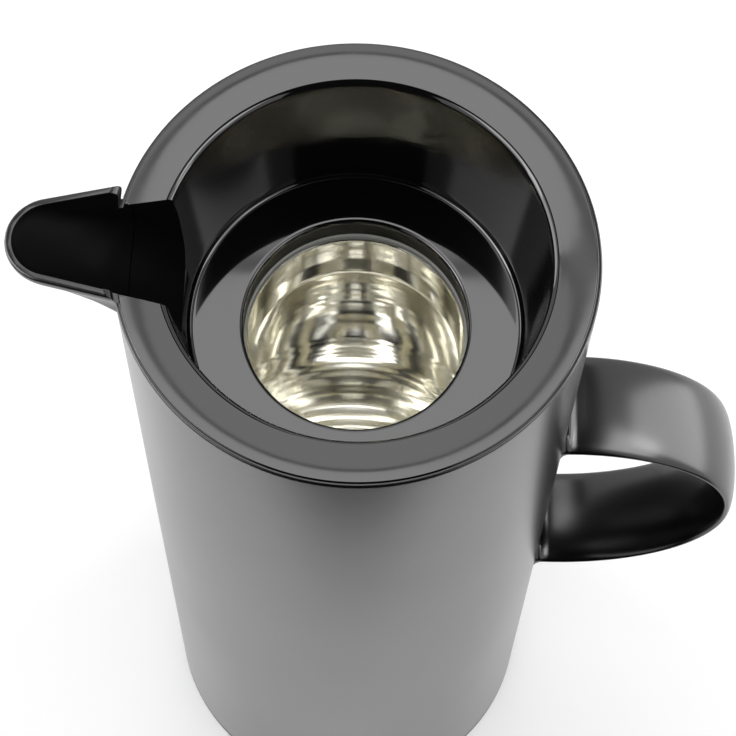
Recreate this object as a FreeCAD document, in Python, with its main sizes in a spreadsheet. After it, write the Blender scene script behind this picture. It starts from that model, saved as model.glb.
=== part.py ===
import FreeCAD, Part
import math
import os
from types import SimpleNamespace

import Sketcher

# Vacuum jug: a cylinder with a beak, a half-round handle, an open pouring funnel, a silvered glass
# liner and a base that screws out so that the liner can be changed.
# The origin is on the floor under the middle of the base, +Z is up, the handle points to +X and the
# beak to -X. Lengths are in millimetres.

SIZES = {
    # Body
    "body_radius": 53.0,
    "body_wall": 2.6,
    "body_top": 275.5,
    "body_edge_round": 0.6,
    # Beak
    "beak_reach": 22.7,
    "beak_depth": 19.4,
    "beak_rim_height": 4.8,
    "beak_rim_gap": 1.2,
    "beak_corner_round": 2.0,
    "beak_edge_round": 0.6,
    "beak_tip_radius": 10.0,
    "beak_taper_angle": 13.0,
    "beak_wall": 1.7,
    # Collar with its funnel
    "collar_inset": 0.8,
    "collar_edge_height": 0.5,
    "collar_crown_radius": 200.0,
    "collar_wall": 2.0,
    "collar_skirt_length": 9.0,
    "collar_clearance": 0.2,
    "collar_lip_round": 1.0,
    "collar_ring_width": 10.6,
    "funnel_taper": 4.0,
    "funnel_floor_width": 12.5,
    "funnel_depth": 36.0,
    "funnel_floor_round": 1.2,
    "mouth_edge_round": 0.8,
    "mouth_wall_height": 6.3,
    "gasket_guide_length": 6.3,
    # Channel from the funnel to the beak
    "channel_depth": 29.5,
    "channel_start_step": 0.2,
    # Handle
    "handle_ring_radius": 42.5,
    "handle_height": 149.8,
    "handle_half_width": 13.1,
    "handle_half_thickness": 2.5,
    "handle_flare": 2.6,
    "handle_seat_clearance": 0.05,
    # Handle screws
    "screw_radius": 1.5,
    "screw_length": 9.0,
    "screw_point": 2.0,
    "screw_head_radius": 3.0,
    "screw_head_height": 1.7,
    "screw_slot_width": 1.0,
    "screw_slot_depth": 0.8,
    "screw_clearance": 0.1,
    # Glass liner
    "flask_clearance": 3.0,
    "glass_wall": 1.7,
    "vacuum_gap": 3.6,
    "neck_step": 1.2,
    "neck_gap": 3.0,
    "neck_length": 13.0,
    "neck_fillet": 5.0,
    "outer_neck_fillet": 3.0,
    "lip_height": 2.0,
    "tip_radius": 3.0,
    "tip_length": 6.0,
    "spacer_radius": 4.0,
    "spacer_height": 12.0,
    "glass_clearance": 0.1,
    # Mouth gasket
    "gasket_thickness": 2.2,
    "gasket_lip": 0.5,
    "gasket_skirt_wall": 1.8,
    "gasket_skirt_length": 4.0,
    "gasket_clearance": 0.2,
    # Base
    "foot_lift": 1.2,
    "base_flange": 2.6,
    "base_edge_round": 1.6,
    "base_plate": 2.4,
    "base_recess_margin": 2.5,
    "base_recess_depth": 4.0,
    "base_grip_width": 12.0,
    "base_seam": 0.4,
    "spigot_wall": 2.4,
    "spigot_margin": 1.0,
    # Base thread
    "thread_pitch": 5.0,
    "thread_height": 1.1,
    "thread_root": 2.2,
    "thread_crest": 1.2,
    "thread_bite": 0.5,
    "thread_lead_in": 2.0,
    "thread_clearance": 0.3,
    # Base seal, foot ring and cushion
    "seal_width": 1.2,
    "seal_inset": 0.3,
    "seal_groove_depth": 0.7,
    "seal_clearance": 0.1,
    "foot_width": 5.0,
    "foot_inset": 5.5,
    "foot_groove_depth": 1.0,
    "foot_clearance": 0.1,
    "cushion_inset": 17.4,
    "cushion_bore": 8.0,
    "cushion_seat": 9.0,
    "cushion_clearance": 0.3,
    # How far a cutting shape runs past what it cuts
    "overrun": 10.0,
}

# Turns of thread on the base and in the body
THREAD_TURNS = 1.5
SPACER_COUNT = 3
# Angles in degrees
HALF_TURN = 180
QUARTER_TURN = 90

# Levels of the beak from its rim down: depth below the rim, reach of the tip and roundness of the tip
BEAK_SHARES = [
    (0.0, 1.0, 1.0),
    (0.12, 0.98, 1.0),
    (0.25, 0.78, 1.0),
    (0.42, 0.51, 1.1),
    (0.66, 0.25, 1.25),
    (0.92, 0.05, 1.35),
    (1.28, -0.2, 1.35),
]
# Levels of the channel below the beak: the way down to its full depth, the way back to the funnel and
# the roundness of its front
CHANNEL_SHARES = [
    (0.0, 0.0, 1.3),
    (0.35, 0.38, 1.3),
    (0.7, 0.72, 1.3),
    (1.0, 1.0, 1.3),
]
# Stations along a handle root, as shares of its way out of the body to the end of the flare
FLARE_SHARES = [0.0, 0.12, 0.24, 0.36, 0.46, 0.52, 0.6, 0.7, 0.84, 1.0]
# How near a found edge has to lie to the ring that is looked for
EDGE_TOLERANCE = 1e-4


class Size:
    """A length with its present value and the sheet expression that gives it."""

    def __init__(self, value, text):
        self.value = value
        self.text = text

    def __add__(self, other):
        other = as_size(other)
        return Size(self.value + other.value, f"({self.text} + {other.text})")

    def __sub__(self, other):
        other = as_size(other)
        return Size(self.value - other.value, f"({self.text} - {other.text})")

    def __mul__(self, other):
        other = as_size(other)
        return Size(self.value * other.value, f"({self.text} * {other.text})")

    def __truediv__(self, other):
        other = as_size(other)
        return Size(self.value / other.value, f"({self.text} / {other.text})")

    def __neg__(self):
        return Size(-self.value, f"(0 - {self.text})")

    def root(self):
        return Size(math.sqrt(self.value), f"sqrt({self.text})")

    def sine(self):
        return Size(math.sin(math.radians(self.value)), f"sin({self.text} * 1 deg)")

    def cosine(self):
        return Size(math.cos(math.radians(self.value)), f"cos({self.text} * 1 deg)")


def as_size(number):
    if isinstance(number, Size):
        return number
    return Size(float(number), repr(float(number)))


ZERO = as_size(0)

doc = FreeCAD.newDocument("vacuum_jug")
sheet = doc.addObject("Spreadsheet::Sheet", "dims")


def fill_sheet():
    """Put every driving dimension into the sheet and return them by name."""
    for row, (name, value) in enumerate(SIZES.items(), start=1):
        sheet.set(f"A{row}", name)
        sheet.set(f"B{row}", str(value))
        sheet.setAlias(f"B{row}", name)
    doc.recompute()
    return SimpleNamespace(**{name: Size(float(sheet.get(name)), f"dims.{name}") for name in SIZES})


s = fill_sheet()

# Heights and radii that several pieces share
bore = s.body_radius - s.body_wall
rim_top = s.body_top + s.beak_rim_height
base_top = s.foot_lift + s.base_flange
body_bottom = base_top + s.base_seam
plate_bottom = s.foot_lift + s.base_recess_depth
plate_top = plate_bottom + s.base_plate
funnel_top_radius = s.body_radius - s.collar_ring_width
funnel_floor_radius = funnel_top_radius - s.funnel_taper
mouth_radius = funnel_floor_radius - s.funnel_floor_width
channel_start = funnel_floor_radius + s.channel_start_step
mouth_top = s.body_top - s.funnel_depth
mouth_bottom = mouth_top - s.mouth_wall_height
gasket_top = mouth_bottom - s.gasket_clearance
gasket_bottom = gasket_top - s.gasket_thickness
lip_top = gasket_bottom - s.gasket_clearance
lip_bottom = lip_top - s.lip_height
outer_flask_radius = bore - s.flask_clearance
inner_flask_radius = outer_flask_radius - s.glass_wall - s.vacuum_gap
inner_neck_radius = mouth_radius - s.neck_step + s.glass_wall
outer_neck_radius = inner_neck_radius + s.neck_gap + s.glass_wall
flask_bottom = plate_top + s.cushion_clearance + s.cushion_seat
dome_centre = flask_bottom + outer_flask_radius
spigot_radius = bore - s.thread_height - s.thread_clearance
body_ridge_start = body_bottom + s.thread_lead_in + s.thread_root / 2
base_ridge_start = body_ridge_start + s.thread_pitch / 2
handle_x = s.body_radius + s.handle_flare
handle_ends = [s.handle_height + s.handle_ring_radius, s.handle_height - s.handle_ring_radius]


def bind(thing, place, size):
    thing.setExpression(place, size.text)


def plane(body, role):
    for feature in body.Origin.OriginFeatures:
        if feature.Role == role:
            return feature
    raise ValueError(f"{body.Label} has no {role}")


def sketch_on(body, name, role, offset=ZERO):
    """A sketch on one of the body's own planes, moved along the plane's normal."""
    sketch = body.newObject("Sketcher::SketchObject", name)
    sketch.AttachmentSupport = [(plane(body, role), "")]
    sketch.MapMode = "FlatFace"
    bind(sketch, "AttachmentOffset.Base.z", offset)
    return sketch


def arc_between(start, end, radius, turn):
    """The arc of under a half circle between two points, anticlockwise for turn 1."""
    chord = end - start
    rise = math.sqrt(max(radius ** 2 - (chord.Length / 2) ** 2, 0))
    left = FreeCAD.Vector(-chord.y, chord.x, 0) / chord.Length
    centre = (start + end) / 2 + left * (rise * turn)
    first, last = (start, end) if turn > 0 else (end, start)
    first_angle = math.atan2(first.y - centre.y, first.x - centre.x)
    last_angle = math.atan2(last.y - centre.y, last.x - centre.x)
    if last_angle < first_angle:
        last_angle += math.tau
    circle = Part.Circle(centre, FreeCAD.Vector(0, 0, 1), radius)
    return Part.ArcOfCircle(circle, first_angle, last_angle)


def bind_distance(sketch, kind, axis, edge, point, size):
    """Hold one coordinate of a point to the sheet."""
    if size.value == 0:
        sketch.addConstraint(Sketcher.Constraint("PointOnObject", edge, point, axis))
        return
    if size.value > 0:
        number = sketch.addConstraint(Sketcher.Constraint(kind, -1, 1, edge, point, size.value))
    else:
        size = -size
        number = sketch.addConstraint(Sketcher.Constraint(kind, edge, point, -1, 1, size.value))
    bind(sketch, f"Constraints[{number}]", size)


def trace(sketch, steps):
    """Draw a closed outline with every corner and radius held to the sheet.

    A step is (x, y) for a straight run to that corner, or (x, y, radius, turn) for an arc to it, which
    runs anticlockwise for turn 1 and clockwise for turn -1.
    """
    corners = [FreeCAD.Vector(as_size(step[0]).value, as_size(step[1]).value, 0) for step in steps]
    ends = []
    for index, step in enumerate(steps):
        start, end = corners[index - 1], corners[index]
        turn = step[3] if len(step) > 2 else 1
        if len(step) > 2:
            sketch.addGeometry(arc_between(start, end, step[2].value, turn))
        else:
            sketch.addGeometry(Part.LineSegment(start, end))
        ends.append((1, 2) if turn > 0 else (2, 1))
    for index, step in enumerate(steps):
        following = (index + 1) % len(steps)
        end, start = ends[index][1], ends[following][0]
        sketch.addConstraint(Sketcher.Constraint("Coincident", index, end, following, start))
    for index, step in enumerate(steps):
        bind_distance(sketch, "DistanceX", -2, index, ends[index][1], as_size(step[0]))
        bind_distance(sketch, "DistanceY", -1, index, ends[index][1], as_size(step[1]))
        if len(step) > 2:
            number = sketch.addConstraint(Sketcher.Constraint("Radius", index, step[2].value))
            bind(sketch, f"Constraints[{number}]", step[2])


def new_body(name):
    return doc.addObject("PartDesign::Body", name)


def revolve(body, steps):
    """Turn an outline of radii and heights about the Z axis."""
    sketch = sketch_on(body, f"{body.Name}_profile", "XZ_Plane")
    trace(sketch, steps)
    feature = body.newObject("PartDesign::Revolution", f"{body.Name}_turned")
    feature.Profile = sketch
    feature.ReferenceAxis = (sketch, ["V_Axis"])
    doc.recompute()
    return feature


def turned_body(name, steps):
    body = new_body(name)
    revolve(body, steps)
    return body


def round_rings(body, radius, rings):
    """Round the circular edges at the given radii and heights."""
    base = body.Tip
    names = []
    for ring_radius, height in rings:
        found = []
        for number, edge in enumerate(base.Shape.Edges, start=1):
            if edge.Length < EDGE_TOLERANCE or not isinstance(edge.Curve, Part.Circle):
                continue
            near = abs(edge.Curve.Radius - ring_radius.value) < EDGE_TOLERANCE
            if near and abs(edge.Curve.Center.z - height.value) < EDGE_TOLERANCE:
                found.append(f"Edge{number}")
        if not found:
            raise ValueError(f"{body.Label} has no ring of radius {ring_radius.value}")
        names += found
    fillet = body.newObject("PartDesign::Fillet", f"{body.Name}_rounds")
    fillet.Base = (base, names)
    bind(fillet, "Radius", radius)
    doc.recompute()
    return fillet


def thread_ridge(name, root_radius, crest_radius, middle):
    """A ridge with a trapezium section wound up the Z axis, right-handed."""
    body = new_body(name)
    sketch = sketch_on(body, f"{name}_section", "XZ_Plane")
    half_root = s.thread_root / 2
    half_crest = s.thread_crest / 2
    corners = [
        (root_radius, middle - half_root),
        (root_radius, middle + half_root),
        (crest_radius, middle + half_crest),
        (crest_radius, middle - half_crest),
    ]
    trace(sketch, corners)
    doc.recompute()
    ridge = body.newObject("PartDesign::AdditiveHelix", f"{name}_helix")
    ridge.Profile = sketch
    ridge.ReferenceAxis = (sketch, ["V_Axis"])
    ridge.Mode = "pitch-turns-angle"
    ridge.Turns = THREAD_TURNS
    bind(ridge, "Pitch", s.thread_pitch)
    doc.recompute()
    return body


def cylinder(name, radius, length, base, turn=FreeCAD.Rotation()):
    """A cylinder from its base point along Z, or along Z turned by the given rotation."""
    rod = doc.addObject("Part::Cylinder", name)
    bind(rod, "Radius", radius)
    bind(rod, "Height", length)
    rod.Placement = FreeCAD.Placement(FreeCAD.Vector(), turn)
    for axis, place in zip("xyz", base):
        bind(rod, f"Placement.Base.{axis}", as_size(place))
    return rod


def combine(kind, name, pieces):
    """Join or intersect several shapes."""
    result = doc.addObject(kind, name)
    result.Shapes = pieces
    result.Refine = False
    return result


def cut(name, base, tool):
    result = doc.addObject("Part::Cut", name)
    result.Base = base
    result.Tool = tool
    result.Refine = False
    return result


def prism(name, role, start, length, steps):
    """Pad an outline from a plane of its own body along that plane's normal."""
    body = new_body(name)
    sketch = sketch_on(body, f"{name}_outline", role, start)
    trace(sketch, steps)
    pad = body.newObject("PartDesign::Pad", f"{name}_pad")
    pad.Profile = sketch
    bind(pad, "Length", length)
    doc.recompute()
    return body


def tongue_loft(name, levels, back):
    """Loft through level tongues, each given as its height, its reach from the axis and its tip radius.

    A tongue runs towards -X from a straight back edge, with tapering sides and a round tip.
    """
    sketches = []
    slope = s.beak_taper_angle.sine() / s.beak_taper_angle.cosine()
    for number, (height, reach, tip_radius) in enumerate(levels):
        sketch = doc.addObject("Sketcher::SketchObject", f"{name}_level{number}")
        bind(sketch, "Placement.Base.z", height)
        touch_x = reach - tip_radius + tip_radius * s.beak_taper_angle.sine()
        touch_y = tip_radius * s.beak_taper_angle.cosine()
        back_y = touch_y + (touch_x - back) * slope
        corners = [
            (-touch_x, touch_y),
            (-touch_x, -touch_y, tip_radius, 1),
            (-back, -back_y),
            (-back, back_y),
        ]
        trace(sketch, corners)
        sketches.append(sketch)
    doc.recompute()
    loft = doc.addObject("Part::Loft", name)
    loft.Sections = sketches
    loft.Solid = True
    return loft


def beak_levels():
    """The outside of the beak, from its rim down into the body's wall."""
    levels = []
    for depth_share, reach_share, tip_share in BEAK_SHARES:
        height = rim_top - s.beak_depth * depth_share
        reach = s.body_radius + s.beak_reach * reach_share
        levels.append((height, reach, s.beak_tip_radius * tip_share))
    return levels


def trough_levels():
    """The channel's front inside the body, from the beak's root down to the funnel."""
    root_height = rim_top - s.beak_depth + s.beak_wall
    root_reach = s.body_radius - s.beak_wall
    bottom = s.body_top - s.channel_depth
    levels = []
    for depth_share, back_share, tip_share in CHANNEL_SHARES:
        height = root_height + (bottom - root_height) * depth_share
        reach = root_reach + (channel_start - root_reach) * back_share
        levels.append((height, reach, s.beak_tip_radius * tip_share - s.beak_wall))
    return levels


def make_channel():
    """The space that the drink runs through, used to cut both the collar and the body."""
    root_height = trough_levels()[0][0]
    rim_reach = s.body_radius + s.beak_reach - s.beak_wall
    levels = [(rim_top + s.overrun, rim_reach, s.beak_tip_radius - s.beak_wall)]
    for height, reach, tip_radius in beak_levels():
        if height.value > root_height.value:
            levels.append((height + s.beak_wall, reach - s.beak_wall, tip_radius - s.beak_wall))
    return tongue_loft("channel", levels + trough_levels(), mouth_radius + s.collar_wall)


def beak_side():
    """The beak seen from the side as a wide prism: a level rim with a rounded corner at the collar."""
    inner_x = bore - s.overrun
    rim_x = s.body_radius + s.beak_rim_gap
    tip_x = s.body_radius + s.beak_reach + s.overrun
    corners = [
        (-inner_x, mouth_top),
        (-inner_x, s.body_top),
        (-rim_x, s.body_top),
        (-rim_x, rim_top - s.beak_corner_round),
        (-(rim_x + s.beak_corner_round), rim_top, s.beak_corner_round, 1),
        (-tip_x, rim_top),
        (-tip_x, mouth_top),
    ]
    return prism("beak_side", "XZ_Plane", -s.body_radius, s.body_radius * 2, corners)


def make_outer_body(channel):
    """Tube with an inside thread at its foot, holes for the handle screws, and the beak."""
    column = [
        (ZERO, body_bottom),
        (s.body_radius, body_bottom),
        (s.body_radius, s.body_top),
        (ZERO, s.body_top),
    ]
    block = turned_body("body_block", column)
    round_rings(block, s.body_edge_round, [(s.body_radius, s.body_top)])
    rim = rim_top + s.overrun
    # The back lies behind the round of the lowest tongue, so that no tongue crosses itself
    loft = tongue_loft("beak_loft", beak_levels(), bore - s.overrun - s.beak_tip_radius)
    beak = combine("Part::MultiCommon", "beak", [loft, beak_side()])
    joined = combine("Part::MultiFuse", "block_with_beak", [block, beak])
    core = cylinder("bore_core", bore, rim, (ZERO, ZERO, ZERO))
    tube = cut("tube", cut("tube_closed", joined, core), channel)
    holes = combine("Part::MultiFuse", "body_holes", [screw_hole("body_hole", end) for end in handle_ends])
    drilled = cut("tube_drilled", tube, holes)
    ridge = thread_ridge("body_ridge", bore + s.thread_bite, bore - s.thread_height, body_ridge_start)
    return combine("Part::MultiFuse", "outer_body", [round_beak_rim(drilled), ridge])


def round_beak_rim(tube):
    """Round both edges of the beak's rim, which run on round its corners at the collar."""
    doc.recompute()
    body = new_body("body_rounded")
    body.BaseFeature = tube
    doc.recompute()
    base = body.Tip
    names = []
    for number, edge in enumerate(base.Shape.Edges, start=1):
        level = edge.BoundBox.ZMin > rim_top.value - EDGE_TOLERANCE
        if level and not isinstance(edge.Curve, Part.Line):
            names.append(f"Edge{number}")
    if not names:
        raise ValueError("the beak has no rim to round")
    fillet = body.newObject("PartDesign::Fillet", "beak_rim_rounds")
    fillet.Base = (base, names)
    bind(fillet, "Radius", s.beak_edge_round)
    doc.recompute()
    return body


def screw_hole(name, height):
    """A hole for a handle screw, from inside the bore outwards."""
    start = bore - s.overrun
    length = screw_seat() + s.screw_length + s.screw_clearance - start
    radius = s.screw_radius + s.screw_clearance
    along_x = FreeCAD.Rotation(FreeCAD.Vector(0, 0, 1), FreeCAD.Vector(1, 0, 0))
    return cylinder(name, radius, length, (start, ZERO, height), along_x)


def screw_seat():
    """How far out the flat underside of a screw head lies, against the round bore."""
    return (bore * bore - s.screw_head_radius * s.screw_head_radius).root() - s.screw_clearance


def make_handle_screws():
    """A slotted screw for each end of the handle, with its head inside the body."""
    seat = screw_seat()
    head_face = seat - s.screw_head_height
    end = seat + s.screw_length
    half_slot = s.screw_slot_width / 2
    screws = []
    for number, height in enumerate(handle_ends):
        body = new_body(f"screw{number}")
        sketch = sketch_on(body, f"screw{number}_profile", "XY_Plane", height)
        profile = [
            (head_face, ZERO),
            (end, ZERO),
            (end - s.screw_point, s.screw_radius),
            (seat, s.screw_radius),
            (seat, s.screw_head_radius),
            (head_face, s.screw_head_radius),
        ]
        trace(sketch, profile)
        turned = body.newObject("PartDesign::Revolution", f"screw{number}_turned")
        turned.Profile = sketch
        turned.ReferenceAxis = (sketch, ["H_Axis"])
        doc.recompute()
        slot = sketch_on(body, f"screw{number}_slot", "YZ_Plane", head_face)
        outline = [
            (-half_slot, height - s.screw_head_radius - s.overrun),
            (half_slot, height - s.screw_head_radius - s.overrun),
            (half_slot, height + s.screw_head_radius + s.overrun),
            (-half_slot, height + s.screw_head_radius + s.overrun),
        ]
        trace(slot, outline)
        pocket = body.newObject("PartDesign::Pocket", f"screw{number}_pocket")
        pocket.Profile = slot
        pocket.Reversed = True
        bind(pocket, "Length", s.screw_slot_depth)
        doc.recompute()
        if not body.Shape.Volume < turned.Shape.Volume:
            raise ValueError("the slot of a screw cuts nothing")
        screws.append(body)
    group = doc.addObject("Part::Compound", "handle_screws")
    group.Links = screws
    return group


def flare_at(depth):
    """How far a root has spread at a depth within its flare."""
    if depth.value >= s.handle_flare.value:
        return ZERO
    if depth.value <= 0:
        return s.handle_flare
    rest = s.handle_flare - depth
    return s.handle_flare - (s.handle_flare * s.handle_flare - rest * rest).root()


def handle_section(name, x, z, half_width, half_thickness):
    """One upright oval section of the band, square to X."""
    section = doc.addObject("Part::Ellipse", name)
    bind(section, "MajorRadius", half_width)
    bind(section, "MinorRadius", half_thickness)
    upright = FreeCAD.Rotation(QUARTER_TURN, 0, QUARTER_TURN)
    section.Placement = FreeCAD.Placement(FreeCAD.Vector(), upright)
    bind(section, "Placement.Base.x", x)
    bind(section, "Placement.Base.z", z)
    return section


def handle_root(number, height):
    """One end of the handle, flared on to the round body."""
    spread = s.handle_half_width + s.handle_flare
    drop = s.body_radius - (s.body_radius * s.body_radius - spread * spread).root()
    sections = []
    for share in FLARE_SHARES:
        depth = (s.handle_flare + drop) * share - drop
        half_width = s.handle_half_width + flare_at(depth + drop)
        half_thickness = s.handle_half_thickness + flare_at(depth)
        name = f"root{number}_section{len(sections)}"
        sections.append(handle_section(name, s.body_radius + depth, height, half_width, half_thickness))
    doc.recompute()
    root = doc.addObject("Part::Loft", f"handle_root{number}")
    root.Sections = sections
    root.Solid = True
    root.Ruled = True
    return root


def make_handle():
    """A half ring of oval band whose two roots flare on to the body."""
    half_width, half_thickness = s.handle_half_width, s.handle_half_thickness
    ring = doc.addObject("Part::Revolution", "handle_ring")
    ring.Source = handle_section("ring_section", handle_x, handle_ends[0], half_width, half_thickness)
    ring.Axis = FreeCAD.Vector(0, 1, 0)
    ring.Angle = HALF_TURN
    ring.Solid = True
    bind(ring, "Base.x", handle_x)
    bind(ring, "Base.z", s.handle_height)
    roots = [handle_root(number, height) for number, height in enumerate(handle_ends)]
    band = combine("Part::MultiFuse", "handle_band", [ring] + roots)
    away = FreeCAD.Rotation(FreeCAD.Vector(0, 0, 1), HALF_TURN)
    seat_radius = s.body_radius + s.handle_seat_clearance
    seat = cylinder("handle_seat", seat_radius, s.body_top, (ZERO, ZERO, ZERO), away)
    holes = [screw_hole("handle_hole", end) for end in handle_ends]
    seated = cut("handle_seated", band, seat)
    return cut("handle", seated, combine("Part::MultiFuse", "handle_holes", holes))


def make_collar(channel):
    """Ring with a locating skirt, the funnel with its floor and mouth, and the trough to the beak."""
    top = s.body_top
    skirt_radius = bore - s.collar_clearance
    guide_radius = outer_neck_radius + s.gasket_clearance * 2 + s.gasket_skirt_wall
    underside = mouth_top - s.collar_wall
    outside = [
        (ZERO, mouth_bottom),
        (mouth_radius + s.collar_wall, mouth_bottom),
        (mouth_radius + s.collar_wall, underside),
        (guide_radius, underside),
        (guide_radius, underside - s.gasket_guide_length),
        (guide_radius + s.collar_wall, underside - s.gasket_guide_length),
        (guide_radius + s.collar_wall, underside),
        (funnel_floor_radius + s.collar_wall, underside),
        (funnel_top_radius + s.collar_wall, top - s.collar_wall),
        (skirt_radius - s.collar_wall, top - s.collar_wall),
        (skirt_radius - s.collar_wall, top - s.collar_skirt_length),
        (skirt_radius, top - s.collar_skirt_length),
        (skirt_radius, top),
        (s.body_radius - s.collar_inset, top),
        (s.body_radius - s.collar_inset, top + s.collar_edge_height),
        (funnel_top_radius + s.collar_lip_round, top, s.collar_crown_radius, 1),
        (ZERO, top),
    ]
    inside = [
        (ZERO, top + s.overrun),
        (funnel_top_radius + s.collar_lip_round, top + s.overrun),
        (funnel_top_radius + s.collar_lip_round, top),
        (funnel_top_radius, top - s.collar_lip_round, s.collar_lip_round, 1),
        (funnel_floor_radius, mouth_top + s.funnel_floor_round),
        (funnel_floor_radius - s.funnel_floor_round, mouth_top, s.funnel_floor_round, -1),
        (mouth_radius + s.mouth_edge_round, mouth_top),
        (mouth_radius, mouth_top - s.mouth_edge_round, s.mouth_edge_round, 1),
        (mouth_radius, mouth_bottom - s.overrun),
        (ZERO, mouth_bottom - s.overrun),
    ]
    front = trough_levels()
    levels = [(top, front[0][1] + s.collar_wall + s.beak_wall, front[0][2] + s.collar_wall)]
    for height, reach, tip_radius in front:
        levels.append((height - s.collar_wall, reach + s.collar_wall, tip_radius + s.collar_wall))
    trough_solid = tongue_loft("trough_loft", levels, mouth_radius + s.collar_wall)
    within = cylinder("trough_limit", skirt_radius, top, (ZERO, ZERO, ZERO))
    trough = combine("Part::MultiCommon", "trough", [trough_solid, within])
    blank = combine("Part::MultiFuse", "collar_blank", [turned_body("collar_outside", outside), trough])
    hollow = cut("collar_hollow", blank, turned_body("collar_inside", inside))
    return cut("collar", hollow, channel)


def glass_outline(neck_radius, neck_bottom, fillet, radius):
    """The outside and inside of a round-bottomed glass below its neck, as two runs of steps."""
    wall = s.glass_wall
    shoulder = radius - neck_radius - fillet
    shoulder_x = neck_radius + fillet
    shoulder_z = neck_bottom - fillet - shoulder
    outside = [
        (neck_radius, neck_bottom),
        (shoulder_x, neck_bottom - fillet, fillet, 1),
        (radius, shoulder_z, shoulder, -1),
        (radius, dome_centre),
    ]
    inside = [
        (ZERO, dome_centre - radius + wall),
        (radius - wall, dome_centre, radius - wall, 1),
        (radius - wall, shoulder_z),
        (shoulder_x, neck_bottom - fillet - wall, shoulder - wall, 1),
        (neck_radius - wall, neck_bottom, fillet + wall, -1),
    ]
    return outside, inside


def make_inner_flask():
    """Inner glass with the lip that closes the space between the two glasses."""
    radius = inner_flask_radius
    outside, inside = glass_outline(inner_neck_radius, lip_bottom - s.neck_length, s.neck_fillet, radius)
    lip = [
        (inner_neck_radius - s.glass_wall, lip_top),
        (outer_neck_radius, lip_top),
        (outer_neck_radius, lip_bottom),
        (inner_neck_radius, lip_bottom),
    ]
    return turned_body("inner_flask", lip + outside + [(ZERO, dome_centre - radius, radius, -1)] + inside)


def make_outer_flask():
    """Outer glass with the sealed tip that it was emptied through."""
    radius = outer_flask_radius
    neck_bottom = lip_bottom - s.neck_length + s.neck_gap
    outside, inside = glass_outline(outer_neck_radius, neck_bottom, s.outer_neck_fillet, radius)
    neck_top = lip_bottom - s.glass_clearance
    neck = [(outer_neck_radius - s.glass_wall, neck_top), (outer_neck_radius, neck_top)]
    tip = [
        (s.tip_radius, dome_centre - (radius * radius - s.tip_radius * s.tip_radius).root(), radius, -1),
        (s.tip_radius, flask_bottom - s.tip_length),
        (ZERO, flask_bottom - s.tip_length),
    ]
    return turned_body("outer_flask", neck + outside + tip + inside)


def make_flask_spacers():
    """Pads that hold the inner glass off the outer one, at the foot of their straight walls."""
    height = dome_centre + s.spacer_height
    rods = []
    for number in range(SPACER_COUNT):
        angle = math.tau * number / SPACER_COUNT
        direction = FreeCAD.Vector(math.cos(angle), math.sin(angle), 0)
        turn = FreeCAD.Rotation(FreeCAD.Vector(0, 0, 1), direction)
        rods.append(cylinder("spacer_rod", s.spacer_radius, outer_flask_radius, (ZERO, ZERO, height), turn))
    base = (ZERO, ZERO, height - s.spacer_radius - s.overrun)
    length = (s.spacer_radius + s.overrun) * 2
    outer = cylinder("spacer_outer", outer_flask_radius - s.glass_wall - s.glass_clearance, length, base)
    inner = cylinder("spacer_inner", inner_flask_radius + s.glass_clearance, length, base)
    ring = cut("spacer_ring", outer, inner)
    spokes = combine("Part::MultiFuse", "spacer_rods", rods)
    return combine("Part::MultiCommon", "flask_spacers", [spokes, ring])


def make_mouth_gasket():
    """Ring that seals the funnel on the glass lip, with a skirt that centres it."""
    skirt_inside = outer_neck_radius + s.gasket_clearance
    skirt_outside = skirt_inside + s.gasket_skirt_wall
    inside = mouth_radius - s.gasket_lip
    ring = [
        (inside, gasket_bottom),
        (skirt_inside, gasket_bottom),
        (skirt_inside, gasket_bottom - s.gasket_skirt_length),
        (skirt_outside, gasket_bottom - s.gasket_skirt_length),
        (skirt_outside, gasket_top),
        (inside, gasket_top),
    ]
    return turned_body("mouth_gasket", ring)


def foot_radii(clearance):
    """Inside and outside radius of the foot ring, opened by a clearance."""
    outside = s.body_radius - s.foot_inset
    return outside - s.foot_width - clearance, outside + clearance


def seal_radii(clearance):
    """Inside and outside radius of the base seal under the body's wall, opened by a clearance."""
    inside = bore + s.seal_inset
    return inside - clearance, inside + s.seal_width + clearance


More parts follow.
